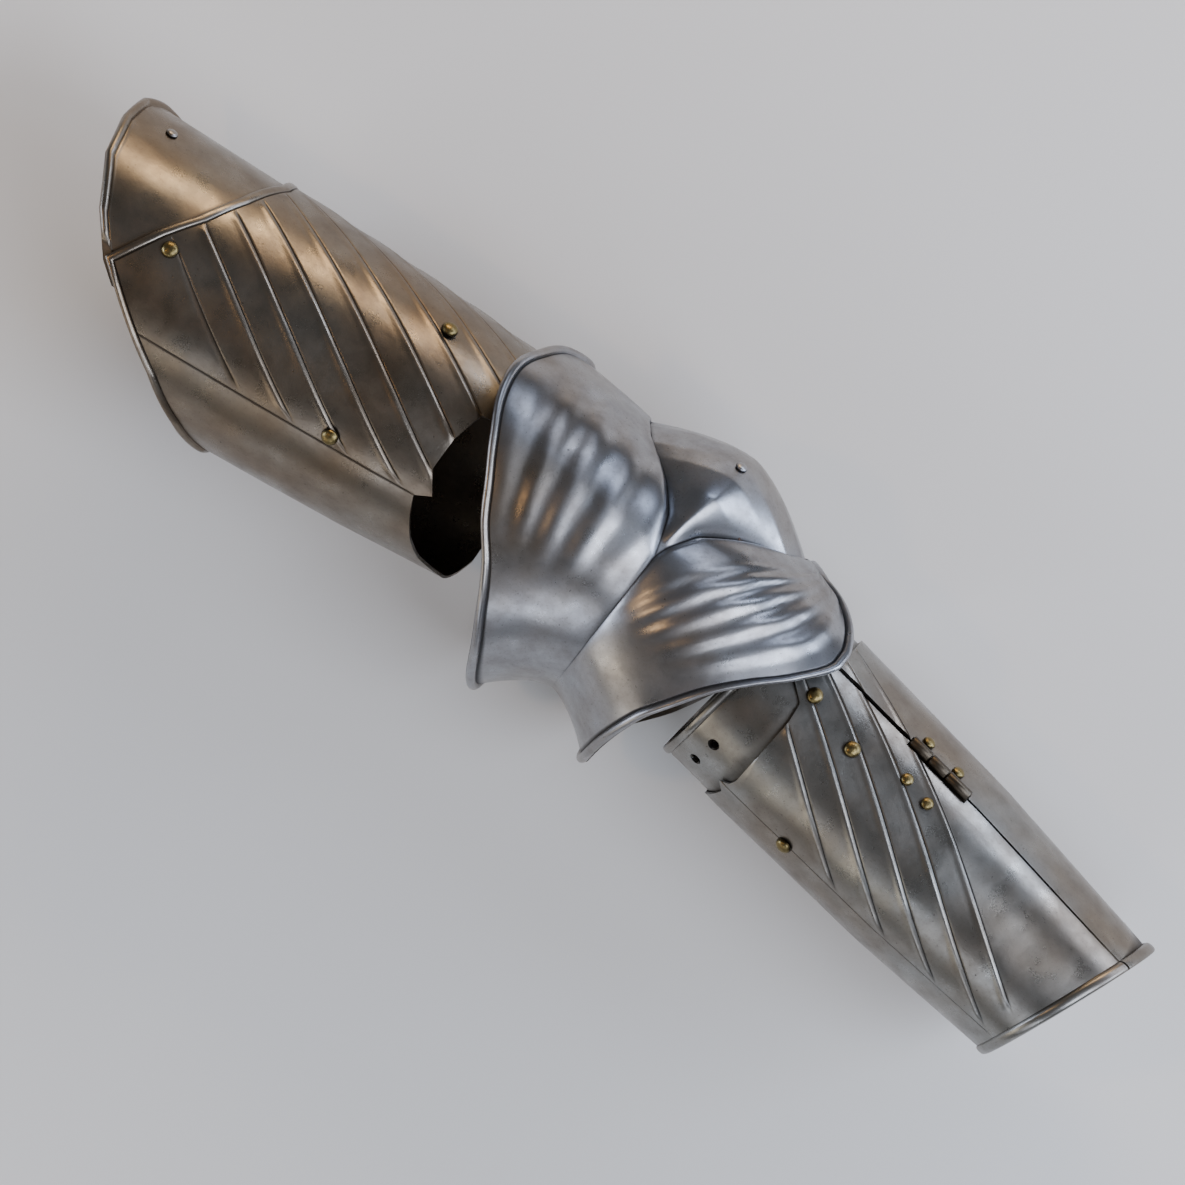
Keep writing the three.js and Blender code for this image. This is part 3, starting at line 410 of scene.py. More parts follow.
def top_plate_profile(deg):
    rim = float(line_at(TOP_PLATE_RIM, "deg", "s", deg))
    edge = float(line_at(UPPER_TOP_EDGE, "deg", "s", deg % 360))
    tail = edge + TOP_PLATE_OVERLAP
    free = float(np.clip((edge - rim - 2 * ROLL_WIDTH) / SINK_OVER, 0, 1))
    under = PLATE + GAP
    end = np.array((rim, upper_radius(rim) - under))
    roll = rolled_rim(end, UP_THE_ARM, free, TOP_PLATE_GROOVE * free)[::-1]
    seen = np.linspace(rim + TOP_PLATE_FOOT, edge - SEEN_TO, SEEN_ROWS)
    face_s = np.concatenate([seen, np.linspace(edge - HIDDEN_FROM, tail, HIDDEN_ROWS)])
    face_s = np.maximum.accumulate(np.maximum(face_s, rim + TOP_PLATE_FOOT))
    face = np.stack([face_s, upper_radius(face_s) - under], axis=1)
    wall_s = np.linspace(tail, rim, INSIDE_ROWS)
    wall = np.stack([wall_s, upper_radius(wall_s) - under - PLATE], axis=1)
    # The plate is made darker along the cannon's edge that lies over it.
    dark = np.clip(1 - np.abs(face_s - edge) / OVERLAP_DARK, 0, 1)
    marks = np.concatenate([np.zeros(len(roll)), dark, np.zeros(len(wall))])
    return np.concatenate([roll, face, wall]), marks


top_plate = loft_round("tongue_top_plate", UPPER_ARM, angles_between(*TOP_PLATE_SPAN, 1.0),
                       top_plate_profile, ring=False)

# %% [markdown]
# ## The lower cannon
# A hand can't pass a closed tube that fits the forearm, so the lower cannon is made in two
# halves, with a hinge on one seam and a stud on the other. Both halves come from one
# function. They differ in the angles they cover, in their edge at the elbow, and in how
# many of the five flutes reach them.

# %% Sizes of the lower cannon
LOWER_RADII = {"s": (-45, 0, 70, 135, 165), "radius": (45.4, 44.7, 43.5, 39.4, 37.9)}
SEAM = {"hinge": 48, "closing": 227, "half_gap": 0.75}
WRIST = {"s": 149.7, "slope": 0.245, "flange": 1.8, "depth": 5.4, "lip": 0.9}
OUTER_HALF_EDGE = {
    "deg": (40, 70, 79, 90, 136, 142, 146, 152, 180, 227),
    "s": (-28.7, -27, -16, -13.9, -11.9, -13.1, -16.8, -13.1, -17.2, -17.2),
}
INNER_HALF_EDGE = -15.6
LOWER_FLUTES = {"count": 5, "first": -15.2, "pitch": 27.7, "slope": 1.43, "bend": 0.0044, "to": 145}


def lower_radius(s):
    return line_at(LOWER_RADII, "s", "radius", s)


def lower_groove(number, deg):
    """Where a groove crosses an angle; the grooves bend slightly towards the wrist."""
    away = deg - 90
    return (LOWER_FLUTES["first"] + number * LOWER_FLUTES["pitch"]
            + LOWER_FLUTES["slope"] * away - LOWER_FLUTES["bend"] * away * away)


crossings = [round(lower_groove(i, 90), 1) for i in range(LOWER_FLUTES["count"])]
print("grooves at the top of the arm:", crossings)

# %% [markdown]
# After the last groove the plate is plain down to the wrist. Rows that lie close together at
# first and wide apart later take the mesh there.

# %% The fluted face of a half
TAIL_ROWS = np.array((0, 0.3, 0.8, 1.6, 3, 5, 8, 12, 18, 25, 40, 60, 90, 130))
LAST_GROOVE, LAST_GROOVE_DIRT = -0.35, 1.4
CLEAN_ROWS = 6
TOP_FADE, WRIST_FADE, LINE_FADE = 2.5, (12, 5), 6
LOWER_FADE, FIRST_FLUTE_FADE = (0.5, 6), (0.1, 0.5)


def half_face(deg, top, crease, first_flute):
    """The fluted rows of a half at an angle, with their marks."""
    count, pitch, line = LOWER_FLUTES["count"] - first_flute, LOWER_FLUTES["pitch"], LOWER_FLUTES["to"]
    first = lower_groove(first_flute, deg)
    rows, shares = fluted_rows(first - pitch, pitch, count)
    last = first + (count - 1) * pitch
    tail = last + TAIL_ROWS
    rows = np.concatenate([rows, tail])
    lift = np.concatenate([flute_lift(shares), np.where(tail == last, LAST_GROOVE * FLUTE_HEIGHT, 0)])
    lift[:len(FLUTE_STEPS)] *= smooth(shares[:len(FLUTE_STEPS)], *FIRST_FLUTE_FADE)
    dark = np.concatenate([groove_mark(shares), np.clip(1 - (tail - last) / LAST_GROOVE_DIRT, 0, 1)])
    dark[:CLEAN_ROWS] = 0
    inside = (rows > top) & (rows < crease)
    along = np.clip(rows, top, crease)
    near_wrist = smooth(along, crease - WRIST_FADE[0], crease - WRIST_FADE[1])
    near_end = np.minimum(smooth(along, top, top + TOP_FADE), 1 - near_wrist)
    shown = float(smooth(line - deg, *LOWER_FADE)) * inside * near_end
    cut_line = incised(deg, line) * (1 - smooth(along, crease - LINE_FADE, crease))
    out = lower_radius(along) + lift * shown - LINE_DEPTH * cut_line
    return np.stack([along, out], axis=1), np.maximum(dark * shown, LINE_DARK * cut_line)


print("rows after the last groove:", len(TAIL_ROWS))

# %% [markdown]
# At the wrist the edge is turned into a low band, which a gauntlet's cuff rests on. The
# mouth is cut at a slant, so a row's place depends on how far round it lies. The band
# stands on a crease, and its outline is a table of steps back from the mouth and out from
# the plate.

# %% The band at the wrist
MOUTH = float(lower_radius(WRIST["s"]))
BAND = ((5.1, 0.5), (4.7, 1.2), (4.1, 1.65), (3.2, 1.85), (2.0, 1.85), (1.1, 1.7), (0.45, 1.3),
        (0.1, 0.75), (0, 0.2), (0, -0.5), (0.2, -WRIST["lip"]), (WRIST["depth"] - 1, -PLATE))


def wrist_point(deg, back, radius):
    return WRIST["s"] + WRIST["slope"] * radius * math.cos(math.radians(deg)) - back, radius


print("wrist mouth", round(2 * (MOUTH - WRIST["lip"]), 1), "mm wide")

# %% [markdown]
# Between the hinge and the elbow the seam of the real piece gapes a little. The points near
# that corner are swayed away from the seam, by less than a degree.

# %% Build a half
SLIT = {"to": 28, "soft": 3, "wider": 0.7, "fade": 14}
LEAD_POINTS, REST_POINTS, WALL_POINTS = 14, 10, 24
LEAD_DIP, CREASE_DIP, CREASE_DIRT = 0.3, 0.25, 0.9


def half_profile(deg, top, first_flute):
    crease = wrist_point(deg, WRIST["depth"], MOUTH)[0]
    face, face_dark = half_face(deg, top, crease, first_flute)
    line = incised(deg, LOWER_FLUTES["to"])
    before = np.linspace(top, min(max(face[0, 0], top), crease), LEAD_POINTS)[:-1]
    lead = np.stack([before, lower_radius(before) - LINE_DEPTH * line], axis=1)
    lead[0, 1] -= LEAD_DIP
    after = np.linspace(face[-1, 0], crease, REST_POINTS)[1:]
    rest = np.stack([after, lower_radius(after)], axis=1)
    rest[-1, 1] -= CREASE_DIP
    band = np.array([wrist_point(deg, back, MOUTH + out_by) for back, out_by in BAND])
    wall_s = np.linspace(wrist_point(deg, WRIST["depth"] + 1, MOUTH)[0], top, WALL_POINTS)
    wall = np.stack([wall_s, lower_radius(wall_s) - PLATE], axis=1)
    lead_dark = np.full(len(lead), LINE_DARK * line)
    rest_dark = np.zeros(len(rest))
    rest_dark[-1] = CREASE_DIRT
    marks = np.concatenate([lead_dark, face_dark, rest_dark, np.zeros(len(band) + len(wall))])
    return np.concatenate([lead, face, rest, band, wall]), marks


def build_half(name, start, end, edge_at, first_flute):
    def sway(angles, profiles):
        hinge_side = np.clip(1 - np.abs(angles - SEAM["hinge"]) / SLIT["fade"], 0, 1)[:, None]
        above = 1 - smooth(profiles[..., 0], SLIT["to"] - SLIT["soft"], SLIT["to"])
        return hinge_side * above * SLIT["wider"] * (1 if start > 0 else -1)

    angles = angles_between(start, end, 0.9, (LOWER_FLUTES["to"],))
    return loft_round(name, LOWER_ARM, angles, lambda deg: half_profile(deg, edge_at(deg), first_flute),
                      ring=False, sway=sway)


outer_half = build_half(
    "forearm_outer_half", SEAM["hinge"] + SEAM["half_gap"], SEAM["closing"] - SEAM["half_gap"],
    lambda deg: float(line_at(OUTER_HALF_EDGE, "deg", "s", deg)), 0)
inner_half = build_half(
    "forearm_inner_half", SEAM["closing"] + SEAM["half_gap"] - 360, SEAM["hinge"] - SEAM["half_gap"],
    lambda deg: INNER_HALF_EDGE, 3)

# %% [markdown]
# ## The ring lame
# A lame is a narrow plate that fills the gap between two large ones while the arm bends.
# This one is a ring under the lower cannon's edge, with two empty holes where a strap once
# was. It is the same all round, so one profile serves every angle. The holes are cut later.

# %% Build the lame
LAME = {"from": -42.5, "to": -6, "radius": 43, "holes": ((-28.9, 131), (-29.9, 151))}
LAME_HOLE_RADIUS = 2.6
LAME_ROWS = 26
LAME_BEAD, LAME_GROOVE, LAME_FOOT = 0.6, 0.2, ROLL_WIDTH * 1.4
LAME_SHADE = {"from": -20, "to": -14, "dark": 0.6}


def lame_profile(deg):
    start, radius = LAME["from"], LAME["radius"]
    roll = rolled_rim(np.array((start, radius)), UP_THE_ARM, LAME_BEAD, LAME_GROOVE)[::-1]
    face_s = np.linspace(start + LAME_FOOT, LAME["to"], LAME_ROWS)
    face = np.stack([face_s, np.full(LAME_ROWS, float(radius))], axis=1)
    wall = np.stack([face_s[::-1], np.full(LAME_ROWS, radius - PLATE)], axis=1)
    lip = np.array([[start, radius - PLATE]])
    # Painted shadow: from -20 mm on, the face darkens under the lower cannon's edge and stays dark beneath
    # it.
    shaded = smooth(face_s, LAME_SHADE["from"], LAME_SHADE["to"]) * LAME_SHADE["dark"]
    dark = np.concatenate([np.zeros(len(roll)), shaded, np.zeros(LAME_ROWS + 1)])
    return np.concatenate([roll, face, wall, lip]), dark


lame = loft_round("ring_lame", LOWER_ARM, np.arange(0, 360, 1.5), lame_profile, ring=True)

# %% [markdown]
# ## The couter
# The couter guards the elbow and is the finest piece: one plate raised from the flat with a
# dome over the point of the elbow, and a wing of two fluted lobes that cover the tendons.
# It is too irregular for a sweep or a subdivided cage that would keep crisp rims. So its
# table says at 22 angles how far both rims lie from the middle, and the plate's radius at
# the rims and at the waist, and curves join them.

# %% Sizes of the couter
COUTER_PLATE = 1.4
COUTER_DEG = (0, 21, 38, 56, 72, 88, 100, 111, 122, 134, 152, 178, 200, 215,
              235, 245, 255, 270, 285, 302, 330, 360)
COUTER_RING = {
    "upper_edge": (72.2, 83.2, 89, 93.9, 91.4, 82.4, 73.8, 65.6, 54.5, 45.5, 35.3, 27.9, 26.2, 29.5,
                   45.9, 53.5, 59.9, 65, 67, 67.7, 67.7, 72.2),
    "upper_radius": (51.7, 52.9, 54.9, 58.6, 61.1, 64, 66.4, 69.3, 72.6, 76.7, 80.4, 82.8, 81.2, 77.1,
                     69.6, 62.9, 59, 57, 59, 55.5, 51.7, 51.7),
    "waist": (46.3, 48, 50.4, 54.9, 57.4, 58.6, 59, 59.5, 59.9, 60.7, 61.5, 61.9, 61.9, 61.5,
              59, 56.8, 54.9, 53.3, 52.6, 50.6, 47.2, 46.3),
    "lower_radius": (42.6, 43.5, 46.3, 49.2, 52.5, 57, 60.7, 64.4, 68.1, 71.8, 75.9, 78.7, 77.9, 74.6,
                     69.6, 62.9, 59, 57, 59, 53, 45.1, 42.6),
    "lower_edge": (55.4, 61.9, 75.9, 85.7, 87.7, 77.1, 64.4, 53.3, 44.7, 36.5, 30.8, 29.1, 27.9, 30.8,
                   45.9, 53, 57.4, 61, 60.6, 59.4, 56.6, 55.4),
}
print("couter table:", len(COUTER_DEG), "angles")

# %% [markdown]
# Straight steps between these angles would show as kinks in the rim. `ring_at` reads a
# column as a smooth curve that closes on itself, and holds it near its neighbours' values,
# because such curves tend to swing past sharp corners.

# %% A smooth column once round
SWING = 0.1


def ring_at(degs, values, deg):
    """Smooth value of a column that goes once round the arm."""
    angle = deg % 360
    count = len(degs) - 1
    i = max(min(int(np.searchsorted(degs, angle, side="left")) - 1, count - 1), 0)

    def place(index):
        around, at = divmod(index, count)
        return degs[at] + 360 * around, values[at]

    (d0, v0), (d1, v1), (d2, v2), (d3, v3) = (place(i + k) for k in (-1, 0, 1, 2))
    span = d2 - d1
    t = (angle - d1) / span
    m1 = (v2 - v0) / (d2 - d0) * span
    m2 = (v3 - v1) / (d3 - d1) * span
    value = ((2 * t**3 - 3 * t**2 + 1) * v1 + (t**3 - 2 * t**2 + t) * m1
             + (3 * t**2 - 2 * t**3) * v2 + (t**3 - t**2) * m2)
    low, high = min(v1, v2), max(v1, v2)
    slack = (high - low) * SWING
    return float(np.clip(value, low - slack, high + slack))


print("waist at 45 degrees:", round(ring_at(COUTER_DEG, COUTER_RING["waist"], 45), 1), "mm")

# %% [markdown]
# The dome and the lobes have tables of their own. The dome is highest towards the elbow's
# side and gone at the outer side. The lobes swell, stand a little step proud along the
# dome, and carry five soft flutes each, which were sunk with a hammer and never filed
# sharp. Their slants make the flutes fan out towards the rim.

# %% Sizes of the dome and the lobes
DOME_DEG = (0, 20, 35, 43, 54, 66, 78, 84, 290, 310, 340, 360)
DOME = {
    "height": (16.4, 18.5, 18.9, 17.5, 13, 5.5, 0, 0, 0, 3, 11.5, 16.4),
    "up": (34.8, 34.8, 30, 24, 14.4, 6.2, 2, 0, 0, 25, 34.8, 34.8),
    "down": (50, 49.6, 43, 34.4, 22.1, 9, 2, 0, 0, 35, 48, 50),
}
DOME_SHAPE = 1.6
PEAK_LEAN = 0.6
LOBE_DEG = (0, 20, 60, 80, 100, 114, 150, 190, 325, 360)
LOBE = {
    "swell": (0.4, 1, 3, 4.2, 4.2, 3.6, 1.4, 0, 0, 0.4),
    "step": (0.8, 1.5, 1.7, 0.8, 0, 0, 0, 0, 0, 0.8),
    "flute": (0, 0.2, 1, 1, 0.5, 0, 0, 0, 0, 0),
}
FLARE_OUTER, FLARE_INNER = 1.05, 1.6
FLARE_BACK = {"deg": 190, "near": 30, "far": 100}
UPPER_SLANT = {"rate": 0.0025, "from": 30, "to": 115, "upright": 70}
LOWER_SLANT = {"rate": 0.0075, "from": 40, "to": 115, "upright": 103}
UPPER_LOBE_FLUTES = {
    "share": (0, 0.06, 0.18, 0.28, 0.38, 0.48, 0.57, 0.66, 0.75, 0.85, 1),
    "lift": (0, 0.6, 0, 1, 0, 1, 0, 1, 0, 0.9, 0),
}
LOWER_LOBE_FLUTES = {
    "share": (0, 0.06, 0.11, 0.2, 0.28, 0.36, 0.45, 0.54, 0.63, 0.73, 0.85, 1),
    "lift": (0, 0.3, 0, 1, 0, 1, 0, 1, 0, 1, 0, 0),
}


def slant(deg, table):
    return table["rate"] * (np.clip(deg % 360, table["from"], table["to"]) - table["upright"])


def couter_columns(deg):
    """The couter's sizes at an angle."""
    sizes = {name: ring_at(COUTER_DEG, values, deg) for name, values in COUTER_RING.items()}
    sizes.update({name: float(np.interp(deg % 360, DOME_DEG, values)) for name, values in DOME.items()})
    sizes.update({name: float(np.interp(deg % 360, LOBE_DEG, values)) for name, values in LOBE.items()})
    outer = float(smooth(abs(deg % 360 - FLARE_BACK["deg"]), FLARE_BACK["near"], FLARE_BACK["far"]))
    sizes["flare"] = FLARE_INNER + (FLARE_OUTER - FLARE_INNER) * outer
    sizes["slant_up"], sizes["slant_down"] = slant(deg, UPPER_SLANT), slant(deg, LOWER_SLANT)
    return sizes


print("dome", DOME["height"][2], "mm high")

# %% [markdown]
# The radius of the outer face is then a sum: a flare from the waist to the rim, the lobe's
# swell, its step and its flutes. Where the dome stands, its own curve takes over. The same
# function without the flutes gives the inside.

# %% The couter's outer face
SWELL_SHAPE, STEP_RISE = 0.7, 0.03
SLANT_EASE, SLANT_START = 0.5, 0.1


def lobe_flutes(wrist, share, sizes):
    """Heights of the soft flutes on both lobes, from 0 to 1."""
    lower_share = np.clip(share + sizes["slant_down"] * (1 - share), 0, 1)
    upper_slant = sizes["slant_up"] * (1 - SLANT_EASE * share) * smooth(share, 0, SLANT_START)
    upper_share = np.clip(share - upper_slant, 0, 1)
    return np.where(wrist, eased(lower_share, LOWER_LOBE_FLUTES["share"], LOWER_LOBE_FLUTES["lift"]),
                    eased(upper_share, UPPER_LOBE_FLUTES["share"], UPPER_LOBE_FLUTES["lift"]))


def couter_radius(x, sizes, plain=False):
    """The outer face's radius at places along the arm; plain leaves the flutes out."""
    x = np.atleast_1d(np.asarray(x, float))
    wrist = x > 0
    edge = np.where(wrist, sizes["lower_edge"], sizes["upper_edge"])
    rim = np.where(wrist, sizes["lower_radius"], sizes["upper_radius"])
    base = sizes["waist"] + (rim - sizes["waist"]) * np.minimum(1, np.abs(x) / edge) ** sizes["flare"]
    up, down = sizes["up"], sizes["down"]
    dome_edge = np.where(wrist, down, up)
    share = np.clip((np.abs(x) - dome_edge) / (edge - dome_edge), 0, 1)
    lobe = base + sizes["swell"] * np.sin(math.pi * share**SWELL_SHAPE)
    if not plain:
        step = sizes["step"] * smooth(share, 0, STEP_RISE) * (1 - share)
        lobe = lobe + step + FLUTE_HEIGHT * sizes["flute"] * lobe_flutes(wrist, share, sizes)
    if down <= 0:
        return lobe
    peak = PEAK_LEAN * (down - up)
    from_peak = np.where(x > peak, (x - peak) / (down - peak), (peak - x) / (peak + up))
    dome = base + sizes["height"] * (1 - np.minimum(from_peak, 1) ** DOME_SHAPE)
    return np.where(from_peak < 1, dome, lobe)


print("radius on top of the dome:", couter_radius(5, couter_columns(35)).round(1)[0], "mm")

# %% [markdown]
# The loop of the couter runs from the upper rim over the lobe, the dome and the lower lobe
# to the lower rim, and back along the inside. Its rows are shares of each part, so they
# always meet the edges of the dome, where the painted shadow line of the lobe's step has to lie.

# %% Build the couter
LOBE_REACH = 0.95
LOBE_SHARES = np.concatenate([[0.004, 0.01, 0.018, 0.028], np.linspace(0.045, LOBE_REACH, 44)])
DOME_SHARES = np.concatenate([np.linspace(0, 0.96, 24), [0.985, 1]])
RIM_ROOM = 1.3 * ROLL_WIDTH
INSIDE_REACH, INSIDE_LOBE_ROWS = 0.97, 12
# The dome line's and the swell's numbers paint shadow beside the lobe's step; the rim's is dirt in the
# groove behind the bead.
DOME_LINE_SHADOW, COUTER_RIM_DIRT, SWELL_SHADOW = 0.9, 0.85, 0.075


def rim_frame(edge, sizes):
    """A rim's end point and the direction of the plate there."""
    end = np.array((edge, couter_radius(edge, sizes)[0]))
    inner = edge - math.copysign(ROLL_WIDTH, edge)
    back = np.array((inner, couter_radius(inner, sizes)[0]))
    return end, (end - back) / np.linalg.norm(end - back)


def under_rim(end, along):
    out = np.array((-along[1], along[0]))
    return end - (out if out[1] > 0 else -out) * COUTER_PLATE


def couter_rows(sizes):
    """Places along the arm of the outer face's rows, and of the inside's, from wrist to shoulder."""
    up, down, upper, lower = (sizes[key] for key in ("up", "down", "upper_edge", "lower_edge"))
    peak = PEAK_LEAN * (down - up)
    upper_lobe = -(up + (upper - up) * LOBE_SHARES * (1 - RIM_ROOM / (upper - up)) / LOBE_REACH)[::-1]
    lower_lobe = down + (lower - down) * LOBE_SHARES * (1 - RIM_ROOM / (lower - down)) / LOBE_REACH
    dome = np.concatenate([peak - (peak + up) * DOME_SHARES[::-1], (peak + (down - peak) * DOME_SHARES)[1:]])
    inside = np.concatenate([np.linspace(-upper * INSIDE_REACH, -up, INSIDE_LOBE_ROWS), dome[4:-4:3],
                             np.linspace(down, lower * INSIDE_REACH, INSIDE_LOBE_ROWS)])[::-1]
    return np.concatenate([upper_lobe, dome, lower_lobe]), inside


def couter_profile(deg):
    sizes = couter_columns(deg)
    x, inside = couter_rows(sizes)
    face = np.stack([x, couter_radius(x, sizes)], axis=1)
    wall = np.stack([inside, couter_radius(inside, sizes, plain=True) - COUTER_PLATE], axis=1)
    upper_end, lower_end = (rim_frame(edge, sizes) for edge in (-sizes["upper_edge"], sizes["lower_edge"]))
    upper_roll, lower_roll = (rolled_rim(*end, 1, RIM_GROOVE) for end in (upper_end, lower_end))
    # Painted shadow: a dark line along the dome's edges where the lobe's step stands proud, darker the
    # higher the step and the swell.
    dome_line = np.minimum(np.abs(x + sizes["up"]), np.abs(x - sizes["down"]))
    proud = min(1, sizes["step"] + SWELL_SHADOW * sizes["swell"])
    step_shadow = np.clip(1 - dome_line / DOME_LINE_SHADOW, 0, 1) * proud
    roll_mark = np.zeros(len(upper_roll))
    roll_mark[:2] = COUTER_RIM_DIRT
    points = [upper_roll[::-1], face, lower_roll, [under_rim(*lower_end)], wall, [under_rim(*upper_end)]]
    marks = [roll_mark[::-1], step_shadow, roll_mark, np.zeros(len(wall) + 2)]
    return np.concatenate(points), np.concatenate(marks)


couter = loft_round("winged_couter", ARM, np.arange(0, 360, 0.9), couter_profile, ring=True)

# %% [markdown]
# ## Rivets
# Rivets hold the plates, the hinge and the leathers inside. A smith sets each one hot or
# cold with a hollow punch, which leaves a domed head. Thirteen rivets and the closing stud
# share one lathed shape: a head, a shank and a clenched tail. Copies of one mesh would be
# lighter, but shanks differ in length, and each head is a little uneven in its own way.

# %% Sizes and places of the rivets
SHANK = 1.4
TAIL_RADIUS, TAIL_HEIGHT = 2.6, 0.8
DOMED, SMALL, HINGE_HEAD, STUD = (3.5, 2.4), (2.5, 1.5), (2.7, 1.7), (2.6, 4.5)
LEATHER_THICKNESS, LEATHER_DROP = 2.0, 3.4
TWO_PLATES = 2 * PLATE + GAP
COUTER_RIVET_DEG = 35


def couter_radius_at(s):
    return couter_radius(s, couter_columns(COUTER_RIVET_DEG))[0]


ON_UPPER, ON_LOWER, ON_COUTER = (UPPER_ARM, upper_radius), (LOWER_ARM, lower_radius), (ARM, couter_radius_at)

# Each row: the piece it sits on, place along, angle, lift off the plate, head, thickness held.
RIVETS = {
    "rivet_tongue": (ON_UPPER, 7.8, 30.5, -PLATE - GAP, SMALL, PLATE),
    "rivet_plate_outer": (ON_UPPER, 32.8, 83, 0.4, DOMED, TWO_PLATES + 0.4),
    "rivet_plate_inner": (ON_UPPER, 70.5, 336, 1.4, DOMED, TWO_PLATES + 1.7),
    "rivet_upper_leather": (ON_UPPER, 146.4, 44, 1, DOMED, PLATE + LEATHER_THICKNESS + 1.6),
    "rivet_upper_strap": (ON_UPPER, 127.7, 116, 1, DOMED, PLATE + 1),
    "rivet_lower_leather": (ON_LOWER, -13.9, 71, 1.1, DOMED, 2 * PLATE + LEATHER_THICKNESS + 2.4),
    "rivet_lower_outer": (ON_LOWER, 12.3, 77, 1.2, DOMED, PLATE + 1.5),
    "rivet_lower_border": (ON_LOWER, 20.5, 146, 0.1, DOMED, PLATE + 0.1),
    "closing_stud": (ON_LOWER, 62, 218, 0.1, STUD, PLATE + 0.1),
    "rivet_leaf_outer_1": (ON_LOWER, 36.9, 67, 0.5, HINGE_HEAD, PLATE + 0.5),
    "rivet_leaf_outer_2": (ON_LOWER, 49.6, 69, 1.2, HINGE_HEAD, PLATE + 1.2),
    "rivet_leaf_inner_1": (ON_LOWER, 33, 39.5, 0.2, HINGE_HEAD, PLATE + 0.2),
    "rivet_leaf_inner_2": (ON_LOWER, 50, 39.5, 0.2, HINGE_HEAD, PLATE + 0.2),
    "rivet_couter": (ON_COUTER, 5.7, COUTER_RIVET_DEG, 0, SMALL,
                     COUTER_PLATE + LEATHER_DROP + LEATHER_THICKNESS + 1.2),
}
print(len(RIVETS), "rivets")

# %% [markdown]
# The lathe turns an outline into rings of points. Marks rise from the crown of the head to
# its foot, where dirt stays out of the polishing cloth's reach. Near the foot they are 1.

# %% Build the rivets
HEAD_TURNS = (8, 20, 32, 44, 56, 66, 75, 82, 87)
HEAD_DIRT = [0] * 5 + [0.15, 0.5, 0.85, 1]
HEAD_SHAPE = 0.8
HEAD_FOOT = ((1.03, 0.12), (0.97, 0))
TAIL_SHAPE = ((1, 0), (1, 0.6), (0.8, 1))
LATHE_STEPS = 28
UNEVEN = 0.02


def rivet_outline(head, stack):
    """Places (out, up) from the crown to the tail."""
    wide, high = head
    curve = [(wide * math.sin(math.radians(a)), GAP + high * math.cos(math.radians(a)) ** HEAD_SHAPE)
             for a in HEAD_TURNS]
    foot = [(wide * out, GAP + up) for out, up in HEAD_FOOT]
    tail = [(TAIL_RADIUS * out, -stack - GAP - TAIL_HEIGHT * down) for out, down in TAIL_SHAPE]
    return curve + foot + [(SHANK, GAP), (SHANK, -stack - GAP)] + tail


def lathe_faces(rings):
    """Quads between rings, and a fan at the first and the last point."""
    n = LATHE_STEPS
    faces = [(0, 1 + k, 1 + (k + 1) % n) for k in range(n)]
    for ring in range(rings - 1):
        near, far = 1 + ring * n, 1 + (ring + 1) * n
        faces += [(near + k, far + k, far + (k + 1) % n, near + (k + 1) % n) for k in range(n)]
    last = 1 + (rings - 1) * n
    return faces + [(last + n, last + (k + 1) % n, last + k) for k in range(n)]


def round_frame(s, deg, radius):
    """A place given along the arm, round it and out from its axis."""
    return np.array((s, radius * math.cos(math.radians(deg)), radius * math.sin(math.radians(deg))))


def build_rivet(name, on, s, deg, lift, head, stack):
    matrix, radius_at = on
    outline = rivet_outline(head, stack)
    points = [(0, 0, GAP + head[1])]
    for out, up in outline:
        for k in range(LATHE_STEPS):
            a = 2 * math.pi * k / LATHE_STEPS
            uneven = 1 + UNEVEN * math.sin(2 * a + s) * (up > 0)
            points.append((out * uneven * math.cos(a), out * uneven * math.sin(a), up))
    points.append((0, 0, -stack - GAP - TAIL_HEIGHT))
    spin = Matrix.Rotation(math.radians(deg - 90), 4, "X")
    place = matrix @ Matrix.Translation(Vector(round_frame(s, deg, radius_at(s) + lift))) @ spin
    ring_marks = HEAD_DIRT + [1.0] * (len(outline) - len(HEAD_DIRT))
    marks = [0.0] + [mark for mark in ring_marks for _ in range(LATHE_STEPS)] + [1.0]
    return mesh_object(name + "_domed", placed(place, points), lathe_faces(len(outline)), marks)


rivets = {name: build_rivet(name, *sizes) for name, sizes in RIVETS.items()}
print("heads from", SMALL[0] * 2, "to", DOMED[0] * 2, "mm wide")

# %% [markdown]
# ## The hinge
# The forearm's hinge is let into a notch across the seam. A smith bends each leaf from a
# strip round a pin, files gaps so that the knuckles mesh, and rivets the leaves to the
# inside of the plates. The knuckles lie on the hinge line at 48 degrees. Each is a short
# tube with softened edges, and a block joins it to its leaf, which bends round the arm.

# %% Sizes of the hinge
HINGE = {"from": 27.1, "to": 59.9, "radius": 45.4, "notch": 3.0}
KNUCKLES = (HINGE["from"], 37.6, 47.4, HINGE["to"])
KNUCKLE_GAP = 0.3
BARREL, BORE, PIN, NECK = 2.4, 1.15, 0.8, 2.4
BARREL_SOFT, PIN_CORE = 0.45, 0.02
LEAF = {"inside": 41.2, "outside": 42.2, "outer": 25, "inner": 15, "near": 2.6}
LEAF_COLUMNS = 14
BLOCK_TOP, BLOCK_NEAR = HINGE["radius"] - 1.5, 0.6

spans = [(a + KNUCKLE_GAP / 2 * (i > 0), b - KNUCKLE_GAP / 2 * (i < 2))
         for i, (a, b) in enumerate(zip(KNUCKLES, KNUCKLES[1:]))]
print("hinge knuckles:", [tuple(round(v, 1) for v in span) for span in spans])

# %% [markdown]
# Two helpers build everything that lies along the hinge line: a block, given by its
# distances from the line, and a knuckle, which is an outline turned round the line. The
# ends of a knuckle are softened as a file leaves them, which also gives them a highlight.

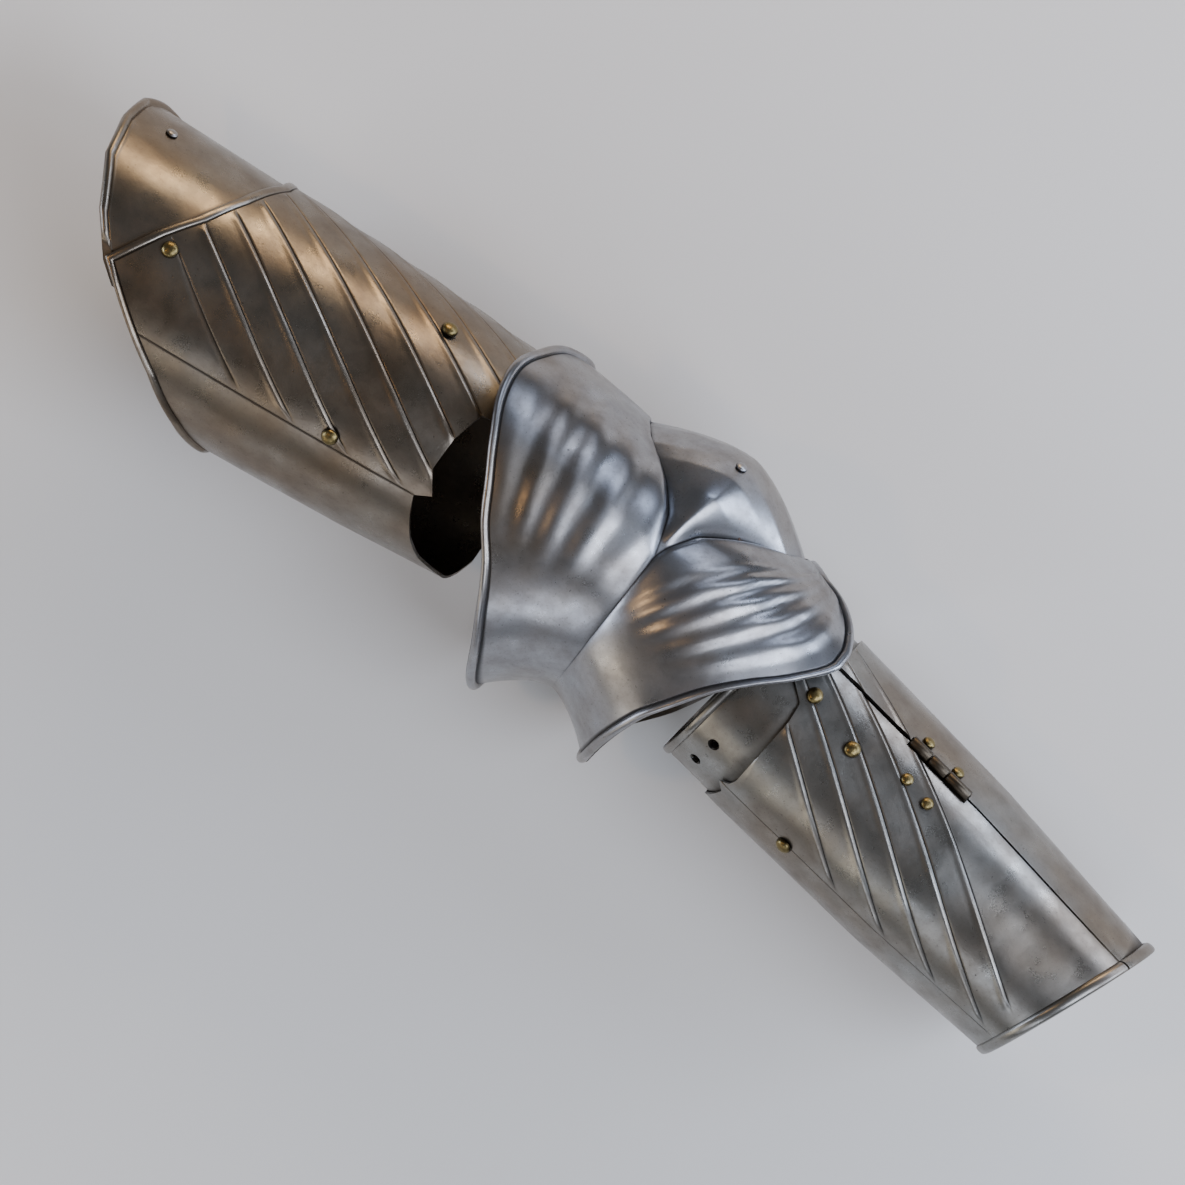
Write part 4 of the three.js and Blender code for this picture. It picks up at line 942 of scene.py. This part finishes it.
# %% Shapes beside the hinge line
BLOCK_FACES = ((0, 1, 3, 2), (4, 6, 7, 5), (0, 4, 5, 1), (2, 3, 7, 6), (0, 2, 6, 4), (1, 5, 7, 3))


def seam_block(start, end, inside, outside, near, far):
    """A block's corners; near and far are distances from the hinge line across the seam."""
    out = round_frame(0, SEAM["hinge"], 1)
    across = round_frame(0, SEAM["hinge"] + 90, 1)
    return np.array([(s, 0, 0) + out * r + across * d
                     for s in (start, end) for r in (inside, outside) for d in (near, far)])


def knuckle(start, end, outer, inner, around=24):
    """A tube with softened edges along the hinge line."""
    soft = BARREL_SOFT
    outline = [(start, inner), (start, outer - soft), (start + soft, outer), (end - soft, outer),
               (end, outer - soft), (end, inner)]
    centre = round_frame(0, SEAM["hinge"], HINGE["radius"])
    angles = [2 * math.pi * k / around for k in range(around)]
    points = [centre + np.array((s, r * math.cos(a), r * math.sin(a))) for s, r in outline for a in angles]
    size = len(outline)
    faces = [(i * around + k, ((i + 1) % size) * around + k,
              ((i + 1) % size) * around + (k + 1) % around, i * around + (k + 1) % around)
             for i in range(size) for k in range(around)]
    return np.array(points), faces


print("hinge line at", SEAM["hinge"], "degrees")

# %% [markdown]
# A leaf is one piece of metal on the real hinge. Here its plate, blocks and knuckles are
# separate closed shapes in one mesh, which overlap a little. No joint between them is seen,
# and they keep their crisp edges. The outer leaf has two knuckles and the inner leaf the
# one between them, so the halves can swing without a knuckle touching another.

# %% Build the leaves and the pin


def build_leaf(name, side, reach, leaf_spans):
    points, faces = [], []

    def add_shape(new_points, new_faces):
        start = sum(len(p) for p in points)
        points.append(np.asarray(new_points))
        faces.extend(tuple(start + v for v in face) for face in new_faces)

    corners = ((HINGE["from"], LEAF["outside"]), (HINGE["to"], LEAF["outside"]),
               (HINGE["to"], LEAF["inside"]), (HINGE["from"], LEAF["inside"]))
    degs = SEAM["hinge"] + side * np.linspace(LEAF["near"], reach, LEAF_COLUMNS)
    plate = [round_frame(s, deg, r) for deg in degs for s, r in corners]
    add_shape(plate, tube_faces(LEAF_COLUMNS, len(corners), ring=False))
    for start, end in leaf_spans:
        block = seam_block(start, end, LEAF["inside"], BLOCK_TOP, side * BLOCK_NEAR, side * NECK)
        add_shape(block, BLOCK_FACES)
        add_shape(*knuckle(start, end, BARREL, BORE))
    return mesh_object(name, placed(LOWER_ARM, np.concatenate(points)), faces)


leaf_outer = build_leaf("hinge_outer_leaf", 1, LEAF["outer"], [spans[0], spans[2]])
leaf_inner = build_leaf("hinge_inner_leaf", -1, LEAF["inner"], [spans[1]])
pin_points, pin_faces = knuckle(KNUCKLES[0], KNUCKLES[-1], PIN, PIN_CORE)
hinge_pin = mesh_object("hinge_steel_pin", placed(LOWER_ARM, pin_points), pin_faces)
print("leaves:", len(leaf_outer.data.polygons), len(leaf_inner.data.polygons), "faces")

# %% [markdown]
# ## The notch and the lame's holes
# These are filed and punched through finished plates, so they are cut from the finished
# meshes too, with exact booleans. That is simpler than steering the rows of a loft round a
# hole. The cutters are plain closed shapes, which are removed afterwards, and each result is
# kept as the piece's own mesh.

# %% Cut with closed tools
NOTCH_SLACK = 0.4
NOTCH_CUT, HOLE_CUT = (40, 52), (36, 48)


def cut(piece, tools):
    """Takes closed tools away from a piece and leaves its material marks in place."""
    for tool in tools:
        change = piece.modifiers.new("cut", "BOOLEAN")
        change.operation, change.solver, change.object = "DIFFERENCE", "EXACT", tool
        bpy.context.view_layer.update()
        made = bpy.data.meshes.new_from_object(piece.evaluated_get(bpy.context.evaluated_depsgraph_get()))
        piece.modifiers.clear()
        old, piece.data = piece.data, made
        bpy.data.meshes.remove(old)
        shade(piece.data)
    for tool in tools:
        bpy.data.objects.remove(tool)


def notch_tool(name, side):
    block = seam_block(HINGE["from"] - NOTCH_SLACK, HINGE["to"] + NOTCH_SLACK, *NOTCH_CUT,
                       -side, side * HINGE["notch"])
    return mesh_object(name, placed(LOWER_ARM, block), BLOCK_FACES)


def hole_tool(name, s, deg, radius, around=32):
    """A round cutter through the lame."""
    out, across, along = round_frame(0, deg, 1), round_frame(0, deg + 90, 1), np.array((1, 0, 0))
    centre, turns = np.array((s, 0, 0)), np.arange(around) * 2 * math.pi / around
    points = [centre + out * r + along * (radius * math.cos(a)) + across * (radius * math.sin(a))
              for r in HOLE_CUT for a in turns]
    return mesh_object(name, placed(LOWER_ARM, points), tube_faces(2, around, ring=False))


cut(outer_half, [notch_tool("notch_outer", 1)])
cut(inner_half, [notch_tool("notch_inner", -1)])
cut(lame, [hole_tool(f"hole_{i}", s, deg, LAME_HOLE_RADIUS) for i, (s, deg) in enumerate(LAME["holes"])])
print("halves:", len(outer_half.data.polygons), len(inner_half.data.polygons), "faces")

# %% [markdown]
# ## The leather inside
# The plates of an arm defence hang on leather straps inside, so that they can slide over
# each other. None is seen from outside. One strap stands for them: it runs from the upper
# cannon under the couter to the lame, about half a millimetre off each plate. Its path is a
# row of places (along, angle) with the piece that it lies under, averaged until it is
# smooth, and a flat section with rounded edges is carried along it.

# %% The strap's path
LEATHER_WIDTH = 14
OFF_THE_PLATE = 0.5
PATH_STEPS, PATH_SOFT = 121, 4


def inside_of(axis, radius_at):
    """Radius in the arm frame of the inner face of a round piece whose axis lies beside X."""
    tilt = math.radians(axis["tilt"])

    def radius(x, deg):
        centre = axis["y"] + (x - axis["x"]) * math.tan(tilt)
        wall = radius_at((x - axis["x"]) / math.cos(tilt))
        angle = math.radians(deg)
        reach = math.sqrt(wall**2 - (centre * math.sin(angle)) ** 2)
        return centre * math.cos(angle) + reach - OFF_THE_PLATE

    return radius


def inside_couter(x, deg):
    return float(couter_radius(x, couter_columns(deg), plain=True)[0]) - COUTER_PLATE - LEATHER_DROP


inside_upper = inside_of(UPPER, lambda s: upper_radius(s) - PLATE)
inside_lame = inside_of(LOWER, lambda s: LAME["radius"] - PLATE)
LEATHER_PATH = (
    (-132, 55.5, inside_upper), (-110, 52.5, inside_upper), (-84, 48.5, inside_upper),
    (-56, 44.5, inside_upper), (-34, 41, lambda x, deg: 44.5), (-14, 38, inside_couter),
    (0, 35.5, inside_couter), (11, 38, inside_couter), (22, 45, inside_couter),
    (38, 56, lambda x, deg: 41), (60, 72, inside_lame), (78, 84, inside_lame), (94, 94, inside_lame),
)


def smooth_path():
    places = np.array([(x, deg, radius(x, deg)) for x, deg, radius in LEATHER_PATH])
    stations = np.linspace(0, len(places) - 1, PATH_STEPS)
    path = np.stack([np.interp(stations, range(len(places)), places[:, i]) for i in range(3)], axis=1)
    padded = np.pad(path, ((PATH_SOFT, PATH_SOFT), (0, 0)), mode="edge")
    path = np.mean([padded[k:k + len(path)] for k in range(2 * PATH_SOFT + 1)], axis=0)
    path[0], path[-1] = places[0], places[-1]
    return path


strap_path = smooth_path()
print("strap from", strap_path[0].round(1), "to", strap_path[-1].round(1))

# %% [markdown]
# The section is a flat bar with its corners taken off, as a strap's edges are shaved. It
# narrows over the last rows at both ends, which rounds them.

# %% Build the strap
STRAP_SECTION = ((-1, -0.25), (-0.9, 0), (-0.45, 0), (0, 0), (0.45, 0), (0.9, 0), (1, -0.25),
                 (1, -0.75), (0.9, -1), (0, -1), (-0.9, -1), (-1, -0.75))
END_ROWS, END_LEAST = 3, 0.05


def build_leather(path):
    """A strap along the path, with rounded edges and ends."""
    points = []
    for i, (x, deg, radius) in enumerate(path):
        from_end = min(min(i, len(path) - 1 - i) / END_ROWS, 1)
        half = LEATHER_WIDTH / 2 * math.sqrt(max(END_LEAST, 1 - (1 - from_end) ** 2))
        points += [round_frame(x, deg + math.degrees(side * half / radius), radius + up * LEATHER_THICKNESS)
                   for side, up in STRAP_SECTION]
    faces = tube_faces(len(path), len(STRAP_SECTION), ring=False)
    return mesh_object("elbow_leather_strap", placed(ARM, points), faces)


leather = build_leather(strap_path)
print(leather.name, len(leather.data.polygons), "faces")

# %% [markdown]
# ## Materials
# Every surface here was forged, filed and polished by hand, apart from one strap. A painted
# picture would stretch and repeat on such shapes, so each finish is mixed from noise
# patterns of real sizes. Hex colours are sRGB, the way they look on a screen; Blender mixes
# linear light, so one function turns them.

# %% Colours and sizes for materials


def colour(hex_code):
    values = [int(hex_code[i:i + 2], 16) / 255 for i in (1, 3, 5)]
    return tuple(v / 12.92 if v <= 0.04045 else ((v + 0.055) / 1.055) ** 2.4 for v in values) + (1.0,)


def per_metre(size_mm):
    return 1000 / size_mm


print("mid grey in linear light:", round(colour("#808080")[0], 3))

# %% [markdown]
# A node tree is hard to read as code when every socket takes a line. One small function
# adds a node of any kind with its settings, and links or sets its inputs, so that each node
# below is a single call.

# %% Add a node


def add(tree, kind, inputs=None, **settings):
    """Adds a node; an input given as another node's output is linked, any other is set."""
    node = tree.nodes.new(kind)
    for key, value in settings.items():
        setattr(node, key, value)
    for key, value in (inputs or {}).items():
        if isinstance(value, bpy.types.NodeSocket):
            tree.links.new(value, node.inputs[key])
        else:
            node.inputs[key].default_value = value
    return node


print("inputs are given by name, or by number where a node repeats a name")

# %% [markdown]
# Each finish is a recipe. Patterns are noises with a size in millimetres, a detail and a
# roughness, cut to the part between two levels; "cells" are the edges of a net of cells.
# Stains lay a colour over the base where a pattern is high. Dull adds to the roughness.
# Relief stacks bumps from the widest to the finest, each with its depth in millimetres, and
# a negative depth makes pits. Places are the object's own metres, so patterns keep their
# size on every piece.

# %% Mix a finish from its recipe


def finish(name, recipe):
    material = bpy.data.materials.new(name)
    material.use_nodes = True
    tree = material.node_tree
    tree.nodes.clear()
    place = add(tree, "ShaderNodeTexCoord").outputs["Object"]
    made = {key: add(tree, "ShaderNodeAttribute", attribute_name=key).outputs["Fac"]
            for key in recipe.get("marks", ())}
    for key, (size_mm, detail, rough, low, high) in recipe["patterns"].items():
        noise = add(tree, "ShaderNodeTexNoise", {
            "Vector": place, "Scale": per_metre(size_mm), "Detail": detail, "Roughness": rough})
        made[key] = add(tree, "ShaderNodeMapRange", {
            "Value": noise.outputs[0], "From Min": low, "From Max": high}).outputs[0]
    for key, (size_mm, crease) in recipe.get("cells", {}).items():
        net = add(tree, "ShaderNodeTexVoronoi", {"Vector": place, "Scale": per_metre(size_mm)},
                  feature="DISTANCE_TO_EDGE")
        made[key] = add(tree, "ShaderNodeMapRange", {
            "Value": net.outputs["Distance"], "From Max": crease, "To Min": 1.0, "To Max": 0.0}).outputs[0]
    base = colour(recipe["base"])
    for key, share, hex_code in recipe["stains"]:
        amount = add(tree, "ShaderNodeMath", {0: made[key], 1: share}, operation="MULTIPLY")
        base = add(tree, "ShaderNodeMix", {0: amount.outputs[0], 6: base, 7: colour(hex_code)},
                   data_type="RGBA").outputs[2]
    rough = recipe["rough"]
    for key, share in recipe.get("dull", ()):
        rough = add(tree, "ShaderNodeMath", {0: made[key], 1: share, 2: rough},
                    operation="MULTIPLY_ADD").outputs[0]
    surface = {"Base Color": base, "Roughness": rough, "Metallic": recipe.get("metallic", 0.0)}
    for key, depth_mm in recipe.get("relief", ()):
        inputs = {"Height": made[key], "Distance": abs(depth_mm) * MM}
        if "Normal" in surface:
            inputs["Normal"] = surface["Normal"]
        surface["Normal"] = add(tree, "ShaderNodeBump", inputs, invert=depth_mm < 0).outputs[0]
    shader = add(tree, "ShaderNodeBsdfPrincipled", surface)
    add(tree, "ShaderNodeOutputMaterial", {"Surface": shader.outputs[0]})
    print(name, len(tree.nodes), "nodes")
    return material


# %% [markdown]
# ### Polished steel
# The plates are iron or mild steel, hammered to shape over stakes, then ground and polished
# with fine grit. To the eye that is a grey metal with soft mirror reflections, which bend
# over slow hammer waves some 30 mm wide and over planishing marks of 7 mm. Age adds brown
# clouds, stained patches of about 14 mm, specks and pits of 1 to 1.5 mm, and dirt in every
# groove; the same dark paints shadow on the lame under the lower cannon and beside the
# couter's dome. Real grit lines are near 0.1 mm wide, too fine to show, so they are drawn at
# 0.9 mm. Polished steel has a roughness of 0.1 to 0.3. The couter's steel is the brightest, the
# hinge is black from the forge, and the forearm is a shade cooler than the upper arm.

# %% Steel
GRIME_AND_SHADOW = "#15100b"
STEEL_PATTERNS = {
    "clouds": (70, 3, 0.55, 0.38, 0.62),
    "patches": (14, 6, 0.65, 0.35, 0.7),
    "specks": (1.1, 6, 0.75, 0.56, 0.72),
    "pits": (1.5, 4, 0.6, 0.66, 0.74),
    "hammer": (32, 2, 0.4, 0, 1),
    "planish": (7, 3, 0.5, 0, 1),
    "grit": (0.9, 5, 0.7, 0, 1),
}


def steel(name, cold, warm, stain, rough):
    return finish(name, {
        "marks": ("groove",), "patterns": STEEL_PATTERNS, "metallic": 1.0, "base": cold, "rough": rough,
        # The groove marks are dirt in grooves, and painted shadow on the lame under the lower cannon's edge
        # and along the couter's dome.
        "stains": (("clouds", 1.0, warm), ("patches", 0.45, stain), ("specks", 0.5, stain),
                   ("pits", 0.7, GRIME_AND_SHADOW), ("groove", 0.92, GRIME_AND_SHADOW)),
        "dull": (("patches", 0.14), ("specks", 0.08), ("groove", 0.35)),
        "relief": (("hammer", 0.9), ("planish", 0.07), ("grit", 0.03), ("pits", -0.02)),
    })


couter_steel = steel("polished_couter_steel", "#a1a3a7", "#928a80", "#5a4e44", 0.26)
cannon_steel = steel("polished_cannon_steel", "#8a857c", "#7d6f5e", "#4f4237", 0.25)
forearm_steel = steel("polished_forearm_steel", "#92928e", "#81776a", "#4f4237", 0.25)
dark_steel = steel("dark_forged_steel", "#59534a", "#4c4336", "#2e261e", 0.34)

# %% [markdown]
# ### Brass
# The rivets are brass, domed with a hollow punch and rubbed by handling. Brass dulls from
# yellow to olive brown in clouds of a few millimetres, and stays brighter on the crown.
# Dirt gathers where the head meets the plate. Its specks are really near 0.1 mm and are
# drawn at 0.6 mm. The small bump of 1.6 mm stands for the punch's chatter.

# %% Brass
aged_brass = finish("aged_brass", {
    "marks": ("groove",),
    "patterns": {
        "clouds": (3.5, 5, 0.6, 0.35, 0.68),
        "specks": (0.6, 5, 0.7, 0.5, 0.7),
        "wear": (1.6, 4, 0.6, 0, 1),
    },
    "metallic": 1.0, "base": "#83744c", "rough": 0.27,
    "stains": (("clouds", 1.0, "#665a3c"), ("specks", 0.5, "#3d3320"), ("groove", 0.9, "#1c160d")),
    "dull": (("clouds", 0.18),),
    "relief": (("wear", 0.12),),
})

# %% [markdown]
# ### Leather
# The strap is vegetable-tanned leather, which is matt and turns dark brown with oil and age.
# Its grain is a net of fine creases. Real cells are about 0.8 mm; they are drawn at 1.3 mm
# to show. Wider folds of 6 mm come from bending.

# %% Leather
brown_leather = finish("brown_leather", {
    "patterns": {"clouds": (18, 5, 0.6, 0.35, 0.65), "folds": (6, 4, 0.55, 0, 1)},
    "cells": {"creases": (1.3, 0.12)},
    "base": "#5a3b25", "rough": 0.6,
    "stains": (("clouds", 1.0, "#3c2617"), ("creases", 1.0, "#24160d")),
    "dull": (("clouds", 0.2),),
    "relief": (("folds", 0.3), ("creases", -0.1)),
})

# %% [markdown]
# ## Put the pieces in the frame
# Each piece rides on one body of the part: nearly all on the arm, and the inner half with
# its hinge leaf and rivets on the body that swings open. Each takes a material slot and
# replaces the CAD node of the same piece.

# %% Dress the nodes
PIECES = [
    (upper_cannon, "upper_cannon", cannon_steel, "steel", "arm"),
    (top_plate, "upper_top_plate", cannon_steel, "steel", "arm"),
    (outer_half, "lower_cannon_outer", forearm_steel, "steel", "arm"),
    (inner_half, "lower_cannon_inner", forearm_steel, "steel", "inner_half"),
    (lame, "lower_lame", forearm_steel, "steel", "arm"),
    (couter, "couter", couter_steel, "steel", "arm"),
    (leaf_outer, "hinge_leaf_outer", dark_steel, "steel", "arm"),
    (leaf_inner, "hinge_leaf_inner", dark_steel, "steel", "inner_half"),
    (hinge_pin, "hinge_pin", dark_steel, "dark_steel", "arm"),
    (leather, "elbow_leather", brown_leather, "leather", "arm"),
]
STEEL_RIVETS = {"rivet_tongue": couter_steel, "rivet_couter": couter_steel, "closing_stud": dark_steel}
for node, piece in rivets.items():
    body = "inner_half" if node.startswith("rivet_leaf_inner") else "arm"
    slot = "dark_steel" if node in STEEL_RIVETS else "brass"
    PIECES.append((piece, node, STEEL_RIVETS.get(node, aged_brass), slot, body))

for piece, node, material, slot, body in PIECES:
    piece.data.materials.clear()
    piece.data.materials.append(material)
    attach(piece, body)
    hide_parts(node)
print(len(PIECES), "pieces")

# %% [markdown]
# ## The floor
# A wide pale sheet of matt paper carries the arm. It throws soft light back into the lower
# sides of the steel, which would be black otherwise. Two close tones keep it from looking
# like an empty page.

# %% Floor
FLOOR_SIZE = 6.0
bpy.ops.mesh.primitive_plane_add(size=FLOOR_SIZE, location=(0, 0, 0))
floor = bpy.context.object
floor.name = "studio_floor"
floor.data.materials.append(finish("pale_floor", {
    "patterns": {"tone": (400, 2, 0.5, 0.3, 0.7)},
    "base": "#dedcd8", "rough": 0.9,
    "stains": (("tone", 1.0, "#d9d7d3"),),
}))

# %% [markdown]
# ## Light
# Polished steel has hardly any colour of its own: what you see is the room in it. So each
# light is a soft panel, placed where a form has to catch it, and the panel's shape is the
# shape of the highlight. A long warm panel at the elbow's side draws the bands down the
# cannons, and cool ones brighten the couter and the wrist. Directions are in the arm frame.

# %% World and panels
WORLD_GREY = 0.12
WORLD_BLUE = 1.04
world = bpy.data.worlds.new("studio")
bpy.context.scene.world = world
world.use_nodes = True
world.node_tree.nodes["Background"].inputs["Color"].default_value = (
    WORLD_GREY, WORLD_GREY, WORLD_GREY * WORLD_BLUE, 1)


def area_light(name, direction, distance, size, power, tint):
    """A soft light that shines on the object from a direction in the arm frame."""
    data = bpy.data.lights.new(name, "AREA")
    data.shape, data.size, data.size_y = "RECTANGLE", size[0], size[1]
    data.energy, data.color = power, colour(tint)[:3]
    light = bpy.data.objects.new(name, data)
    toward = (ARM.to_3x3() @ Vector(direction)).normalized()
    side = (ARM.to_3x3() @ Vector((1, 0, 0))).cross(toward).normalized()
    along = side.cross(toward)
    light.matrix_world = Matrix((along, -side, toward)).transposed().to_4x4()
    light.matrix_world.translation = ARM_ORIGIN * MM + toward * distance
    light.visible_camera = False
    bpy.context.collection.objects.link(light)
    return light


def link_light(light, piece, state):
    """Light linking: INCLUDE lights this piece alone, EXCLUDE lights all but this piece."""
    group = bpy.data.collections.new(light.name + "_link")
    group.objects.link(piece)
    light.light_linking.receiver_collection = group
    group.collection_objects[0].light_linking.link_state = state


print("world grey", WORLD_GREY)

# %% [markdown]
# In the photograph the couter shines cool beside warm cannons, as it mirrors another part
# of the room. Light linking keeps the two low panels off it and gives it two of its own.
# Sizes and distances are in metres and powers in watts.

# %% Place the lights
shoulder_light = area_light("warm_shoulder_light", (-0.44, 0.86, 0.35), 1.45, (0.85, 0.3), 9.5, "#ffdcae")
wrist_light = area_light("cool_wrist_light", (0.3, 0.9, 0.34), 1.4, (1.0, 0.26), 8, "#dfe9ff")
for light in (shoulder_light, wrist_light):
    link_light(light, couter, "EXCLUDE")
couter_light = area_light("cool_couter_light", (-0.12, 0.8, 0.59), 1.5, (0.9, 0.32), 4.5, "#d0e0ff")
sky_light = area_light("couter_sky_light", (0.1, 0.35, 0.93), 1.5, (0.5, 0.9), 1.1, "#d6e2f6")
for light in (couter_light, sky_light):
    link_light(light, couter, "INCLUDE")
area_light("cool_key_light", (0.62, 0.05, 0.78), 2.0, (1.1, 1.4), 34, "#e4edff")
area_light("cool_window_light", (0.8, 0.5, 0.3), 1.5, (0.8, 0.6), 16, "#d4e4ff")
area_light("couter_fill_light", (0.35, -0.8, 0.5), 1.8, (1.0, 0.6), 5.5, "#e8eefc")
area_light("low_fill_light", (-0.35, -0.88, 0.34), 1.8, (1.2, 0.6), 6, "#f2e8d8")
area_light("left_window_light", (-0.8, -0.45, 0.3), 1.5, (0.7, 0.6), 10, "#dce8ff")
area_light("small_warm_lamp", (-0.42, -0.25, 0.87), 2.0, (0.12, 0.12), 3, "#ffcf95")

# %% [markdown]
# ## Camera
# The photograph looks straight down on the arm from far away, as its near and far parts show
# no perspective. A long lens at six metres gives that. The view's width comes from the scale
# of the photograph, 0.41 mm to a pixel, and the camera is turned about its own axis so that
# the arm lies across the picture from corner to corner.

# %% Camera
VIEW_CENTRE = Vector((-10.8, -21.2, 0))
VIEW_DISTANCE = 6000
VIEW_WIDTH = 485.9
SENSOR = 36
RIGHT, UP = Vector((0.788, 0.616, 0)), Vector((-0.616, 0.788, 0))

lens = bpy.data.cameras.new("photo_view")
lens.sensor_width, lens.lens = SENSOR, SENSOR * VIEW_DISTANCE / VIEW_WIDTH
camera = bpy.data.objects.new("photo_view", lens)
spin = Matrix((RIGHT.normalized(), UP.normalized(), Vector((0, 0, 1)))).transposed()
seen_from = ARM @ (VIEW_CENTRE + Vector((0, 0, VIEW_DISTANCE)))
camera.matrix_world = Matrix.Translation(seen_from * MM) @ (ARM.to_3x3() @ spin).to_4x4()
bpy.context.collection.objects.link(camera)
bpy.context.scene.camera = camera
print("lens", round(lens.lens), "mm")
